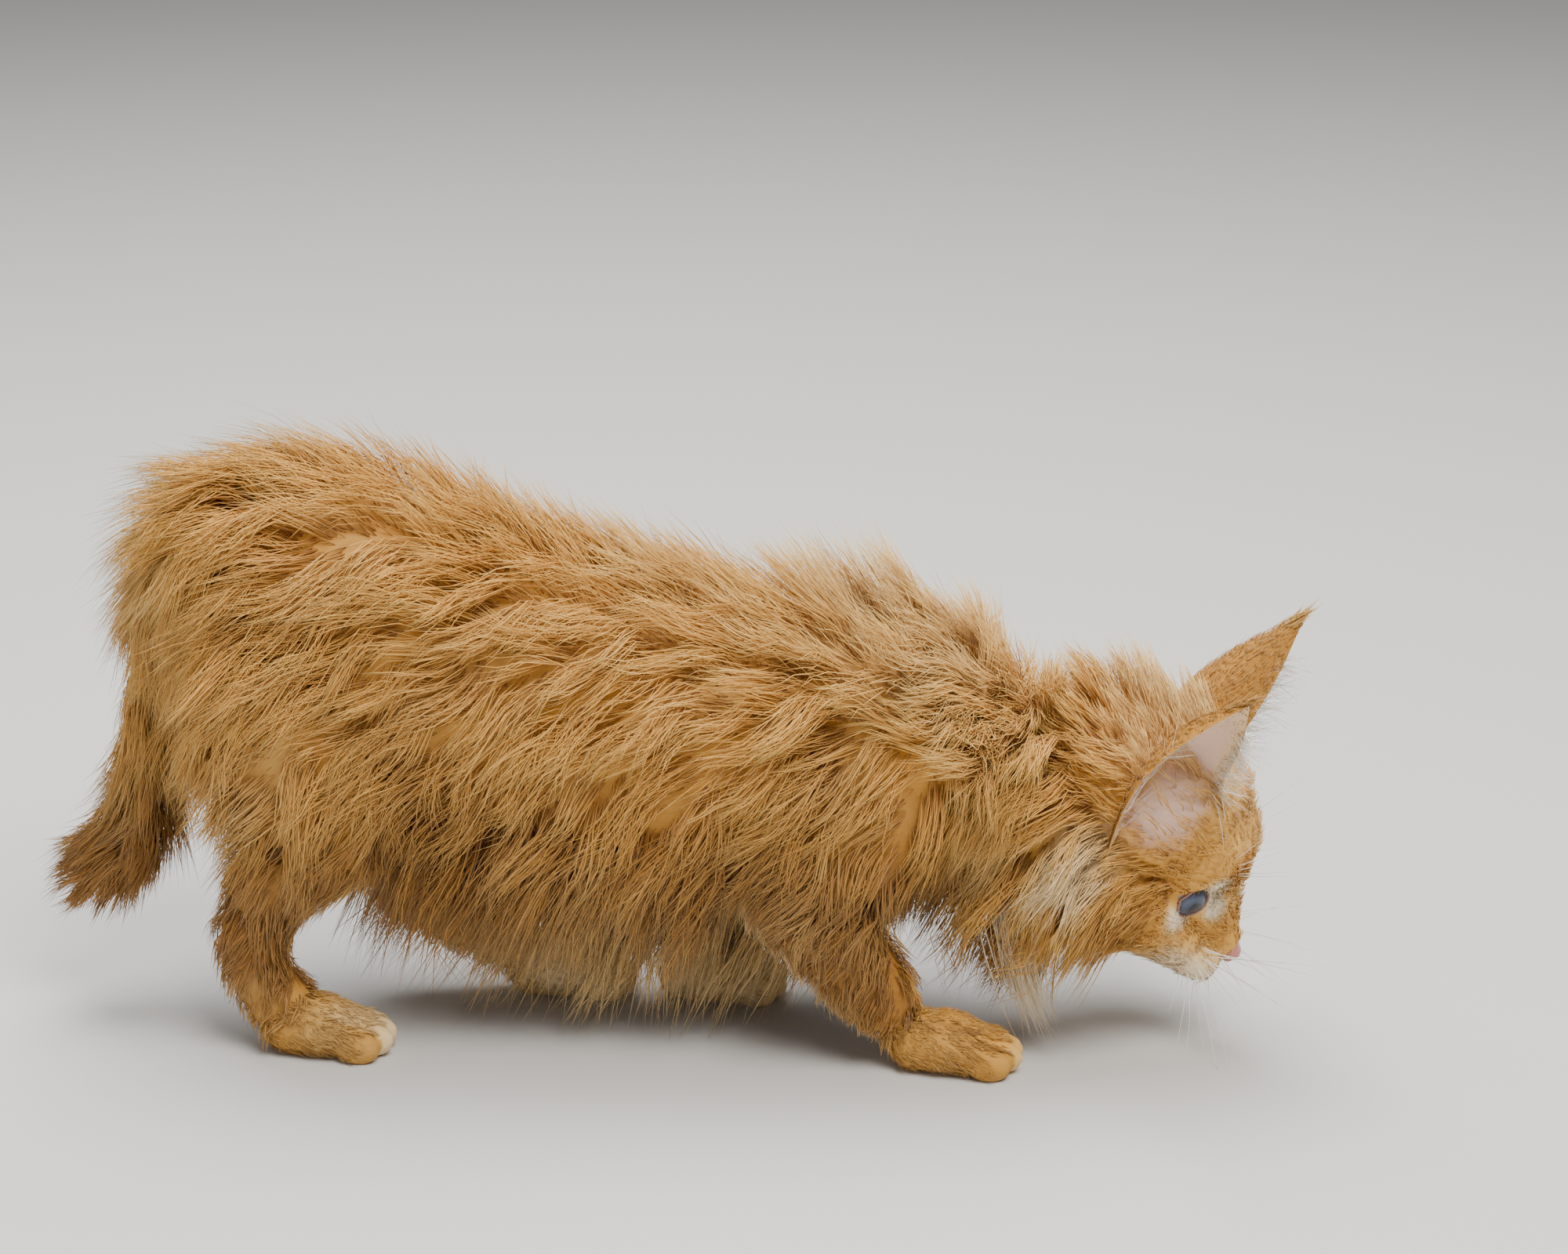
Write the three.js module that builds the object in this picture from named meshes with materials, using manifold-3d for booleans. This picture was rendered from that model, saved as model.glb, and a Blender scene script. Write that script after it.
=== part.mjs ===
// A life-size long-haired kitten, about eight weeks old, stalking forward with its head held low.
// Units are millimetres. +X is the way it walks, +Y is its left side, +Z is up, and the floor is Z = 0.
// Every limb is a soft form swept along a curve. The coat is flat, tapered locks that lie along the body.
import * as THREE from "three";
import { mergeVertices } from "three/addons/utils/BufferGeometryUtils.js";
import Module from "manifold-3d";

const wasm = await Module();
wasm.setup();

// Driving dimensions
const GAP = 0.4; // between pieces that touch
const LOCK_GAP = 0.5; // between the locks of one node and the next
const NECK_BASE = 80; // where the torso ends and the neck begins
const CORE_SHARE = 0.45; // share of the coat's depth that is solid under the locks
const FLOOR_SINK = 30; // thickness of the slab that trims the soles flat
const HEAD_PLACE = new THREE.Vector3(124, -2, 66);
const HEAD_TURN = { pitch: 38, yaw: -5, roll: 6 }; // degrees: nose down, towards its right, right side down
const EYE = { x: 18.6, y: 9.8, z: -4.6, radius: 6.6, lid: 1 };
const FLOOR_CLEAR = 4.5; // least height of a lock over the floor

const X = new THREE.Vector3(1, 0, 0);
const Z = new THREE.Vector3(0, 0, 1);
const v3 = (x, y, z) => new THREE.Vector3(x, y, z);
const radians = THREE.MathUtils.degToRad;
const mix = THREE.MathUtils.lerp;
const { clamp, smoothstep } = THREE.MathUtils;

// Stations of each form: centre x, y, z, half-width, half-height, coat depth.
const TORSO = [
  [-148, 0, 133, 15, 20, 12],
  [-135, 0, 131, 26, 31, 12],
  [-106, 0, 126, 33, 38, 12],
  [-70, 0, 106, 38, 42, 12],
  [-25, 0, 92, 39, 42, 13],
  [20, 0, 87, 36, 37, 13],
  [52, 0, 86, 31, 35, 13],
  [72, 0, 81, 25, 27, 12],
];
const NECK = [
  [64, 0, 87, 24, 26, 12],
  [84, -1, 72, 23, 25, 12],
  [99, -2, 68, 22, 26, 12],
  [113, -2, 66, 20, 24, 11],
];
const TAIL_ROOT = [
  [-146, 1, 136, 8, 8, 8],
  [-157, 2, 120, 6.5, 6.5, 8],
  [-161, 2, 100, 5.5, 5.5, 8],
  [-163, 3, 80, 5, 5, 8.5],
];
const TAIL_BRUSH = [
  [-163, 3, 82, 5, 5, 8.5],
  [-167, 3, 62, 4.5, 4.5, 9.5],
  [-176, 3, 45, 4, 4, 11],
  [-186, 3, 34, 3.5, 3.5, 11],
];
// Right legs are the ones that reach furthest apart: fore leg forward, hind leg back.
const LEGS = {
  right: {
    shoulder: [
      [48, -21, 94, 14, 28, 9],
      [40, -26, 74, 13, 23, 9],
      [28, -29, 58, 11, 17, 8],
    ],
    forearm: [
      [25, -29, 54, 10, 14, 8],
      [39, -28, 35, 9, 12, 8],
      [51, -28, 19, 8, 10, 5],
    ],
    forepaw: { place: [71, -28], turn: -2 },
    thigh: [
      [-116, -19, 116, 15, 30, 9],
      [-112, -26, 93, 13, 28, 8],
      [-109, -28, 70, 11, 20, 7],
    ],
    shank: [
      [-106, -28, 66, 9, 14, 7],
      [-119, -28, 56, 8, 12.5, 7],
      [-128, -27, 46, 7.5, 10, 7],
    ],
    hock: [
      [-131, -27, 38, 7, 8.5, 6],
      [-130, -27, 26, 7, 8.5, 5.5],
      [-123, -27, 14, 7.5, 9, 5],
    ],
    hindpaw: { place: [-109, -27], turn: -3 },
  },
  left: {
    shoulder: [
      [50, 21, 92, 14, 27, 9],
      [43, 25, 72, 13, 21, 9],
      [34, 26, 58, 11, 16, 8],
    ],
    forearm: [
      [32, 26, 54, 10, 13, 7],
      [13, 22, 36, 8.5, 11, 6],
      [-5, 19, 19, 8, 10, 5],
    ],
    forepaw: { place: [1, 19], turn: 3 },
    thigh: [
      [-114, 19, 116, 15, 30, 9],
      [-98, 25, 93, 13, 27, 8],
      [-83, 27, 70, 11, 19, 7],
    ],
    shank: [
      [-78, 26, 66, 9, 13, 7],
      [-90, 24, 53, 8, 11, 7],
      [-98, 22, 42, 7.5, 9.5, 6],
    ],
    hock: [
      [-95, 21.5, 33, 7, 8.5, 6],
      [-82, 20, 24, 7, 8, 5.5],
      [-62, 20, 15, 7.5, 8, 5],
    ],
    hindpaw: { place: [-44, 20], turn: 4 },
  },
};
// The head's own frame: x to the nose, y to its left, z up.
const CRANIUM = [
  [-22, 0, 8, 21, 18, 9],
  [-8, 0, 8, 25, 23.5, 8],
  [5, 0, 7, 25, 24, 4.5],
  [13, 0, 5, 20, 20, 2.5],
];
const FACE = [
  [11, 0, -7, 18, 15, 3],
  [24, 0, -8, 13.5, 12, 2],
  [33, 0, -11.5, 9, 8.5, 1.5],
  [39.5, 0, -14, 6.3, 5.6, 1],
];
const CHEEK = [
  [-6, 16, -12, 12, 15, 8],
  [8, 14, -16, 12, 13, 6],
  [20, 10, -18, 9, 10, 3],
];
const PAD = [
  [31, 6, -20, 6.8, 6.5, 2],
  [38, 4.8, -21, 5.8, 5.5, 1.5],
];
const JAW = [
  [2, 0, -26, 12, 8, 6],
  [20, 0, -26, 8.5, 6, 4],
  [35, 0, -26, 5, 4, 2],
];
const NOSE = [
  [40, 0, -13.4, 4.2, 3.6, 0],
  [43.6, 0, -15.2, 3.6, 2.7, 0],
];
const EAR = {
  front: v3(6, 11, 24),
  back: v3(-17, 6, 30),
  low: v3(-7, 28, -4),
  tips: { left: v3(-1, 34, 66), right: v3(-9, 35, 62) },
  wall: 1.7,
  bow: 5,
  flare: 0.12,
};

// Seeded random numbers, so that the coat is the same on every run.
let seed = 23;
function random() {
  seed = (seed * 1664525 + 1013904223) % 4294967296;
  return seed / 4294967296;
}
const between = (low, high) => mix(low, high, random());

// Turns a closed three.js geometry into a solid that can be joined and cut.
function solidOf(geometry) {
  const bare = geometry.clone();
  bare.deleteAttribute("normal");
  bare.deleteAttribute("uv");
  const merged = mergeVertices(bare, 1e-4);
  const mesh = new wasm.Mesh({
    numProp: 3,
    vertProperties: merged.attributes.position.array,
    triVerts: new Uint32Array(merged.index.array),
  });
  return new wasm.Manifold(mesh);
}

// The largest closed surface of a solid, which drops loose scraps.
function largest(solid) {
  return solid.decompose().reduce((a, b) => (a.volume() > b.volume() ? a : b));
}

function geometryOf(solid) {
  const { vertProperties, triVerts } = solid.getMesh();
  const geometry = new THREE.BufferGeometry();
  geometry.setAttribute("position", new THREE.BufferAttribute(vertProperties, 3));
  geometry.setIndex(new THREE.BufferAttribute(triVerts, 1));
  geometry.computeVertexNormals();
  return geometry;
}

// A rounded form swept along a curve through its stations, with elliptical sections and domed ends.
class Form {
  constructor(stations, reference, { sides = 16, rings = 9, dome = 0.8 } = {}) {
    this.centres = new THREE.CatmullRomCurve3(stations.map(([x, y, z]) => v3(x, y, z)));
    this.sizes = new THREE.CatmullRomCurve3(stations.map(([, , , ...sizes]) => v3(...sizes)));
    this.reference = reference;
    this.sides = sides;
    this.rings = rings;
    this.dome = dome;
    this.length = this.centres.getLength();
    const samples = 24;
    this.samples = Array.from({ length: samples + 1 }, (_, i) => this.at(i / samples));
  }

  at(t) {
    const centre = this.centres.getPoint(t);
    const along = this.centres.getTangent(t);
    const side = v3().crossVectors(this.reference, along).normalize();
    const up = v3().crossVectors(along, side).normalize();
    const size = this.sizes.getPoint(t);
    return { centre, along, side, up, wide: size.x, tall: size.y, coat: Math.max(size.z, 0) };
  }

  // The core's surface at t along the form and an angle from the top towards the left side.
  surface(t, angle) {
    const f = this.at(t);
    const wide = f.wide + f.coat * CORE_SHARE;
    const tall = f.tall + f.coat * CORE_SHARE;
    const point = f.centre
      .clone()
      .addScaledVector(f.side, Math.sin(angle) * wide)
      .addScaledVector(f.up, Math.cos(angle) * tall);
    const normal = v3()
      .addScaledVector(f.side, Math.sin(angle) / wide)
      .addScaledVector(f.up, Math.cos(angle) / tall)
      .normalize();
    return { point, normal, coat: f.coat };
  }

  // Height of a point over the core in millimetres, less than zero inside, and the way out.
  over(p) {
    let best = { height: Infinity };
    for (const f of this.samples) {
      const d = p.clone().sub(f.centre);
      const wide = f.wide + f.coat * CORE_SHARE;
      const tall = f.tall + f.coat * CORE_SHARE;
      const long = this.dome * Math.min(wide, tall);
      const [across, upward, onward] = [d.dot(f.side) / wide, d.dot(f.up) / tall, d.dot(f.along) / long];
      const height = (Math.hypot(across, upward, onward) - 1) * Math.min(wide, tall);
      if (height < best.height) {
        best = { height, f, slope: [across / wide, upward / tall, onward / long] };
      }
    }
    const [across, upward, onward] = best.slope;
    best.out = v3()
      .addScaledVector(best.f.side, across)
      .addScaledVector(best.f.up, upward)
      .addScaledVector(best.f.along, onward)
      .normalize();
    return best;
  }

  // The closed surface, grown over the flesh by a share of the coat and a clearance.
  solid(share, extra = 0) {
    const turns = [0, 0.5].map((turn) => (turn * Math.PI) / 2);
    const rows = turns.map((a) => ({ t: 0, out: -Math.cos(a), shrink: Math.sin(a) }));
    for (let i = 0; i < this.rings; i++) rows.push({ t: i / (this.rings - 1), out: 0, shrink: 1 });
    turns.reverse();
    rows.push(...turns.map((a) => ({ t: 1, out: Math.cos(a), shrink: Math.sin(a) })));
    const geometry = new THREE.SphereGeometry(1, this.sides, rows.length - 1);
    const position = geometry.attributes.position;
    rows.forEach(({ t, out, shrink }, row) => {
      const f = this.at(t);
      const wide = f.wide + f.coat * share + extra;
      const tall = f.tall + f.coat * share + extra;
      for (let i = 0; i <= this.sides; i++) {
        const turn = ((i % this.sides) / this.sides) * Math.PI * 2;
        const p = f.centre
          .clone()
          .addScaledVector(f.side, -Math.cos(turn) * wide * shrink)
          .addScaledVector(f.up, Math.sin(turn) * tall * shrink)
          .addScaledVector(f.along, out * this.dome * Math.min(wide, tall));
        position.setXYZ(row * (this.sides + 1) + i, p.x, p.y, p.z);
      }
    });
    return solidOf(geometry);
  }
}

function ball(place, sizes, detail = 12) {
  const geometry = new THREE.SphereGeometry(1, detail, Math.max(5, detail - 4));
  geometry.scale(...sizes);
  geometry.translate(...place);
  return solidOf(geometry);
}

function box(low, high) {
  const geometry = new THREE.BoxGeometry(high[0] - low[0], high[1] - low[1], high[2] - low[2]);
  geometry.translate((low[0] + high[0]) / 2, (low[1] + high[1]) / 2, (low[2] + high[2]) / 2);
  return solidOf(geometry);
}

const union = (solids) => wasm.Manifold.union(solids);
const mirrored = (stations) => stations.map(([x, y, z, ...sizes]) => [x, -y, z, ...sizes]);

// Paw: a rounded foot with four toes, trimmed flat where it stands on the floor.
const PAW = { length: 17, wide: 11, tall: 9, toe: 5.2, toes: [-7.4, -2.6, 2.6, 7.4] };
function paw({ place, turn }, extra = 0) {
  const foot = new Form(
    [
      [-PAW.length + 4, 0, PAW.tall, PAW.wide - 2.5, PAW.tall - 0.5, 2],
      [-2, 0, PAW.tall - 0.5, PAW.wide, PAW.tall, 1.5],
      [8, 0, PAW.tall - 2.5, PAW.wide, PAW.tall - 2.2, 1],
    ],
    Z,
    { sides: 8, rings: 3, dome: 0.7 },
  );
  const toes = PAW.toes.map((y, i) => {
    const outer = i === 0 || i === PAW.toes.length - 1;
    return ball(
      [outer ? 10 : 12.5, y, PAW.toe - 0.4],
      [6.2 + extra, PAW.toe - 1.2 + extra, PAW.toe + extra],
      6,
    );
  });
  const whole = union([foot.solid(1, extra), ...toes]);
  const set = new THREE.Matrix4()
    .makeRotationZ(radians(turn))
    .setPosition(place[0], place[1], -0.9);
  const floor = box([-400, -300, -FLOOR_SINK], [400, 300, 0]);
  return whole.transform(set.elements).subtract(floor);
}

// Ear: a thin cup between its front and low edges, bowed outward at the back and drawn to a tip.
function ear(tip, extra = 0) {
  const across = 6;
  const upward = 5;
  const geometry = new THREE.BoxGeometry(1, 1, 1, across, upward, 1);
  const rim = new THREE.QuadraticBezierCurve3(EAR.front, EAR.back, EAR.low);
  const skin = (u, v) => {
    const root = rim.getPoint(u);
    const middle = rim.getPoint(0.5);
    const p = root.clone().lerp(tip, v ** 1.05);
    const outward = root.clone().sub(middle).multiplyScalar(EAR.flare * Math.sin(Math.PI * v));
    const bow = v3(-0.9, -0.4, 0).multiplyScalar(EAR.bow * Math.sin(Math.PI * u) * Math.sin(Math.PI * v));
    return p.add(outward).add(bow);
  };
  const position = geometry.attributes.position;
  for (let i = 0; i < position.count; i++) {
    const u = position.getX(i) + 0.5;
    const v = position.getY(i) + 0.5;
    const w = position.getZ(i);
    const step = 0.02;
    const top = Math.min(v, 0.97);
    const du = skin(Math.min(u + step, 1), top).sub(skin(Math.max(u - step, 0), top));
    const dv = skin(u, Math.min(top + step, 0.99)).sub(skin(u, Math.max(top - step, 0)));
    const normal = v3().crossVectors(du, dv).normalize();
    const wall = mix(EAR.wall, 0.8, v) + 2 * extra;
    const p = skin(u, v * 0.97).addScaledVector(normal, w * wall);
    position.setXYZ(i, p.x, p.y, p.z);
  }
  const made = solidOf(geometry);
  return made.volume() < 0 ? solidOf(flipped(geometry)) : made;
}

function flipped(geometry) {
  const turned = geometry.clone();
  const index = turned.index.array;
  for (let i = 0; i < index.length; i += 3) [index[i + 1], index[i + 2]] = [index[i + 2], index[i + 1]];
  return turned;
}

const mirror = (solid) => solid.mirror([0, 1, 0]);

// Almond-shaped opening between the lids, pushed outward from the middle of the eye.
function eyeOpening(sign) {
  const half = { long: 5.6, high: 4.6 };
  const outline = new THREE.Shape();
  outline.moveTo(-half.long, 0.6);
  outline.quadraticCurveTo(-1, half.high * 1.9, half.long, -0.8);
  outline.quadraticCurveTo(0.5, -half.high * 1.9, -half.long, 0.6);
  const geometry = new THREE.ExtrudeGeometry(outline, {
    depth: 14,
    bevelEnabled: false,
    curveSegments: 5,
  });
  // The outline's x runs from the outer corner forward to the inner one, and its y runs up.
  const outward = v3(0.62, 0.76 * sign, 0.12).normalize();
  const up = v3(0, 0, 1).addScaledVector(outward, -outward.z).normalize();
  const forward = v3().crossVectors(up, outward).normalize();
  const frame = new THREE.Matrix4().makeBasis(forward, up, outward);
  frame.setPosition(EYE.x, EYE.y * sign, EYE.z);
  return solidOf(geometry.applyMatrix4(frame));
}

// A lock of hair: a flat three-sided cone bent along its path, ridged outward and drawn to a tip.
const LOCK = { sides: 3, steps: 4, sink: 3, widths: [0.8, 1, 0.85, 0.5, 0], depths: [1, 1, 0.9, 0.7, 0] };
function lockSolid({ path, normals, width, depth }, extra = 0) {
  const { sides, steps, widths, depths } = LOCK;
  const geometry = new THREE.ConeGeometry(1, 1, sides, steps);
  const position = geometry.attributes.position;
  const tip = path[steps].clone();
  tip.addScaledVector(tip.clone().sub(path[steps - 1]).normalize(), 3 * extra);
  const line = [...path.slice(0, steps), tip];
  for (let i = 0; i < position.count; i++) {
    const k = Math.round((position.getY(i) + 0.5) * steps);
    const spread = k < steps ? steps / (steps - k) : 0;
    const along = line[Math.min(k + 1, steps)].clone().sub(line[Math.max(k - 1, 0)]).normalize();
    const side = v3().crossVectors(normals[k], along).normalize();
    const up = v3().crossVectors(along, side);
    const wide = (width * widths[k] + 10 * extra) / Math.sqrt(3);
    const tall = (depth * depths[k] + 3.5 * extra) / 1.5;
    const p = line[k]
      .clone()
      .addScaledVector(side, position.getX(i) * spread * wide)
      .addScaledVector(up, position.getZ(i) * spread * tall);
    position.setXYZ(i, p.x, p.y, p.z);
  }
  const made = solidOf(geometry);
  return made.volume() < 0 ? solidOf(flipped(geometry)) : made;
}
const lockSolids = (locks, extra = 0) => locks.map((lock) => lockSolid(lock, extra));

// The form that a point is nearest to, or deepest in.
function nearest(forms, p) {
  return forms.map((form) => form.over(p)).reduce((a, b) => (a.height < b.height ? a : b));
}

// Lays one lock from its root along the lie of the coat, lifted off the core towards its tip.
function layLock(root, normal, coat, way, { length, width, depth = 2.4, lift = 1, hang = 0 }, own, others) {
  const step = length / LOCK.steps;
  const path = [root.clone().addScaledVector(normal, -LOCK.sink)];
  const normals = [normal.clone()];
  let p = root.clone().addScaledVector(normal, 0.5);
  for (let k = 1; k <= LOCK.steps; k++) {
    const t = k / LOCK.steps;
    const heading = way(p, normal, t).clone();
    heading.z -= hang * t * t;
    p = p.clone().addScaledVector(heading.normalize(), step);
    const target = coat * (1 - CORE_SHARE) * lift * t ** 0.8 + depth * 0.3;
    const mine = nearest(own, p);
    if (mine.height < target || hang === 0) p.addScaledVector(mine.out, target - mine.height);
    const near = others.length ? nearest(others, p) : { height: Infinity };
    if (near.height < depth) p.addScaledVector(near.out, depth - near.height);
    p.z = Math.max(p.z, FLOOR_CLEAR);
    path.push(p.clone());
    normals.push(mine.out.clone());
  }
  return { path, normals, width, depth };
}

// Locks in staggered rows over a form, from its far end to its near end.
function coatOf(form, { rows, around, from = 0, to = 1, arc = [0, 2 * Math.PI] }, way, size, own, others) {
  const locks = [];
  for (let row = 0; row < rows; row++) {
    for (let i = 0; i < around; i++) {
      const t = mix(from, to, (row + 0.5 + between(-0.2, 0.2)) / rows);
      const turn = (i + (row % 2) * 0.5 + between(-0.15, 0.15)) / around;
      const { point, normal, coat } = form.surface(clamp(t, 0, 1), mix(...arc, turn % 1));
      const measure = size(point, normal);
      if (!measure) continue;
      if (others.length && nearest(others, point).height < 1) continue;
      const rest = own.filter((other) => other !== form);
      if (rest.length && nearest(rest, point).height < 0) continue;
      const varied = { ...measure, length: measure.length * between(0.88, 1.12) };
      locks.push(layLock(point, normal, coat, way, varied, own, others));
    }
  }
  return locks;
}

// The whole figure, node by node. Each node is cut clear of the ones made before it.
const figure = new THREE.Group();
const headGroup = new THREE.Group();
headGroup.position.copy(HEAD_PLACE);
headGroup.rotation.set(
  radians(HEAD_TURN.roll),
  radians(HEAD_TURN.pitch),
  radians(HEAD_TURN.yaw),
  "ZYX",
);
figure.add(headGroup);
headGroup.updateMatrix();
const headOut = headGroup.matrix.elements;

const COLOURS = {
  coat: { color: 0xc98a45, roughness: 0.85, metalness: 0 },
  pale: { color: 0xe2bd86, roughness: 0.85, metalness: 0 },
  nose: { color: 0xc9837a, roughness: 0.5, metalness: 0 },
  eye: { color: 0x4d5563, roughness: 0.12, metalness: 0 },
};
function addMesh(name, solid, look, group = figure) {
  const mesh = new THREE.Mesh(geometryOf(largest(solid)), new THREE.MeshStandardMaterial(COLOURS[look]));
  mesh.name = name;
  group.add(mesh);
}

const taken = []; // the grown solids of the nodes made so far
function addNode(name, look, core, grownCore, locks = []) {
  let solid = union([core, ...lockSolids(locks)]);
  for (const other of taken) solid = solid.subtract(other);
  addMesh(name, solid, look);
  taken.push(union([grownCore, ...lockSolids(locks, LOCK_GAP)]));
}

// Forms of the body
const torsoForm = new Form(TORSO, Z, { sides: 18, rings: 10 });
const neckForm = new Form(NECK, Z, { sides: 14, rings: 5 });
const tailRootForm = new Form(TAIL_ROOT, X, { sides: 8, rings: 5 });
const tailBrushForm = new Form(TAIL_BRUSH, X, { sides: 8, rings: 5, dome: 0.9 });
const legForms = {};
for (const [side, parts] of Object.entries(LEGS)) {
  legForms[side] = {
    shoulder: new Form(parts.shoulder, X, { sides: 12, rings: 4 }),
    forearm: new Form(parts.forearm, X, { sides: 10, rings: 4 }),
    thigh: new Form(parts.thigh, X, { sides: 12, rings: 4 }),
    shank: new Form(parts.shank, X, { sides: 10, rings: 3 }),
    hock: new Form(parts.hock, X, { sides: 10, rings: 4 }),
  };
}
const trunkForms = [torsoForm, neckForm];
const allLegForms = Object.values(legForms).flatMap((forms) => Object.values(forms));

// The lie of the coat: back along the top, slanting down the flanks, hanging from the belly.
function trunkWay(p, normal) {
  const down = clamp(0.15 + 1.1 * (0.5 - normal.z / 2) ** 1.3 * 2, 0, 1.6);
  const rump = smoothstep(-p.x, 118, 150);
  return v3(-1 + 0.6 * rump, normal.y * 0.15, -down - 0.6 * rump).normalize();
}
const ruffWay = (p, normal) => v3(-0.75, normal.y * 0.25, -0.35 - 0.8 * (0.5 - normal.z / 2)).normalize();
const tailWay = (p) => {
  const bend = smoothstep(-p.z, -75, -35);
  return v3(-0.1 - 0.75 * bend, 0, -1 + 0.35 * bend).normalize();
};
const legWay = (back, down) => () => v3(-back, 0, -down).normalize();

// Head: skull, face, cheeks and lip pads in one piece, with sockets and lids for the eyes
const craniumForm = new Form(CRANIUM, Z, { sides: 14, rings: 5 });
const faceForm = new Form(FACE, Z, { sides: 12, rings: 5 });
const pair = (stations, options) => [
  new Form(stations, Z, options),
  new Form(mirrored(stations), Z, options),
];
const cheekForms = pair(CHEEK, { sides: 10, rings: 3 });
const padForms = pair(PAD, { sides: 8, rings: 3 });
const jawForm = new Form(JAW, Z, { sides: 10, rings: 4 });
const noseForm = new Form(NOSE, Z, { sides: 10, rings: 3 });
const headForms = [craniumForm, faceForm, ...cheekForms, ...padForms];
const eyeBall = (sign, radius) => ball([EYE.x, EYE.y * sign, EYE.z], [radius, radius, radius], 10);

function headCore(extra = 0) {
  const lids = [-1, 1].map((sign) => eyeBall(sign, EYE.radius + EYE.lid + extra));
  return union([...headForms.map((form) => form.solid(CORE_SHARE, extra)), ...lids]);
}

// Cheek, crown and brow locks, all swept back from the face
const cheekWay = (p, normal) => v3(-0.4, normal.y * 0.3, -0.9).normalize();
const beardWay = () => v3(0.05, 0, -1).normalize();
const crownWay = (p, normal) => v3(-1, normal.y * 0.1, 0.5).normalize();
const earRoots = [EAR.front, EAR.back.clone().lerp(EAR.front, 0.5), EAR.low];
const clearOfEars = (p) => earRoots.every((root) => v3(p.x, Math.abs(p.y), p.z).distanceTo(root) > 9);
const headLocks = [
  ...cheekForms.flatMap((form, i) =>
    coatOf(
      form,
      { rows: 2, around: 3, to: 0.7, arc: i ? [Math.PI, 1.9 * Math.PI] : [0.1 * Math.PI, Math.PI] },
      cheekWay,
      (p) => clearOfEars(p) && { length: 22, width: 14, depth: 2, lift: 1.3, hang: 0.4 },
      headForms,
      [],
    ),
  ),
  ...coatOf(
    craniumForm,
    { rows: 3, around: 2, to: 0.6, arc: [-0.2 * Math.PI, 0.2 * Math.PI] },
    crownWay,
    (p) => clearOfEars(p) && { length: 17, width: 12, depth: 2, lift: 1.7 },
    headForms,
    [],
  ),
];

const beardLocks = coatOf(
  jawForm,
  { rows: 3, around: 2, to: 0.6, arc: [0.7 * Math.PI, 1.3 * Math.PI] },
  beardWay,
  () => ({ length: 17, width: 11, depth: 2, lift: 1.2, hang: 1 }),
  [jawForm],
  [],
);

// Whiskers: fine tapered spines in a fan from each lip pad, with two over each eye
const WHISKER = { depth: 0.7, steps: 3 };
function whisker(root, heading, length, sag, extra = 0) {
  const geometry = new THREE.ConeGeometry(1, 1, 3, WHISKER.steps);
  const position = geometry.attributes.position;
  const side = v3().crossVectors(heading, Z).normalize();
  const up = v3().crossVectors(side, heading).normalize();
  for (let i = 0; i < position.count; i++) {
    const t = position.getY(i) + 0.5;
    const scale = WHISKER.depth / 2 + extra;
    const p = root
      .clone()
      .addScaledVector(heading, length * t - 2)
      .addScaledVector(side, position.getX(i) * scale)
      .addScaledVector(up, position.getZ(i) * scale - sag * t * t);
    position.setXYZ(i, p.x, p.y, p.z);
  }
  const made = solidOf(geometry);
  return made.volume() < 0 ? solidOf(flipped(geometry)) : made;
}
function whiskers(extra = 0) {
  const fan = [];
  for (const sign of [-1, 1]) {
    for (let i = 0; i < 5; i++) {
      const root = v3(37 - 1.5 * i, (9.5 - 0.2 * i) * sign, -19 - 0.8 * (i % 2));
      const heading = v3(0.85 - 0.14 * i, 0.5 * sign, 0.5 - 0.22 * i).normalize();
      fan.push(whisker(root, heading, 46 - 3 * i, 4, extra));
    }
    const brow = v3(25, 8 * sign, 8);
    fan.push(whisker(brow, v3(0.75, 0.3 * sign, 0.55).normalize(), 26, -3, extra));
  }
  return fan;
}

// Tufts in the cup of each ear and at its tip
function earLocks(tip) {
  const front = EAR.front.clone().lerp(tip, 0.25);
  const locks = [0, 1, 2].map((i) => {
    const root = front.clone().lerp(tip, 0.2 * i).add(v3(-1.2, 0.8, 0));
    const path = [0, 1, 2, 3, 4].map((k) => {
      const t = k / LOCK.steps;
      return root.clone().add(v3(5 * t, 8 * t + 2 * t * t, 7 * t - 2 * t * t).multiplyScalar(1 - 0.1 * i));
    });
    return { path, normals: path.map(() => v3(0.9, -0.3, -0.3)), width: 5, depth: 1.2 };
  });
  const out = tip.clone().sub(EAR.front).normalize();
  const path = [-3, 0, 3, 6, 9].map((d) => tip.clone().addScaledVector(out, d - 2));
  locks.push({ path, normals: path.map(() => v3(1, 0, 0)), width: 3.6, depth: 1.6 });
  return locks;
}

const earSides = [
  { name: "ear_left", tip: EAR.tips.left, place: (solid) => solid },
  { name: "ear_right", tip: EAR.tips.right, place: mirror },
];
const fullHead = union([
  headCore(GAP),
  ...lockSolids(headLocks, GAP),
  ...whiskers(GAP),
]);
const headCoreGrown = headCore(GAP);
const jawGrown = union([jawForm.solid(CORE_SHARE, GAP), ...lockSolids(beardLocks, GAP)]);
const earsGrown = [];
for (const { name, tip, place } of earSides) {
  const whole = (extra) => place(union([ear(tip, extra), ...lockSolids(earLocks(tip), extra)]));
  addMesh(name, whole(0).subtract(headCoreGrown), "coat", headGroup);
  earsGrown.push(whole(GAP));
}
let head = headCore();
const hair = union([...lockSolids(headLocks), ...whiskers()]);
head = head.add(hair.subtract(union([...earsGrown, jawGrown])));
head = head.subtract(noseForm.solid(0, GAP));
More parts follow.
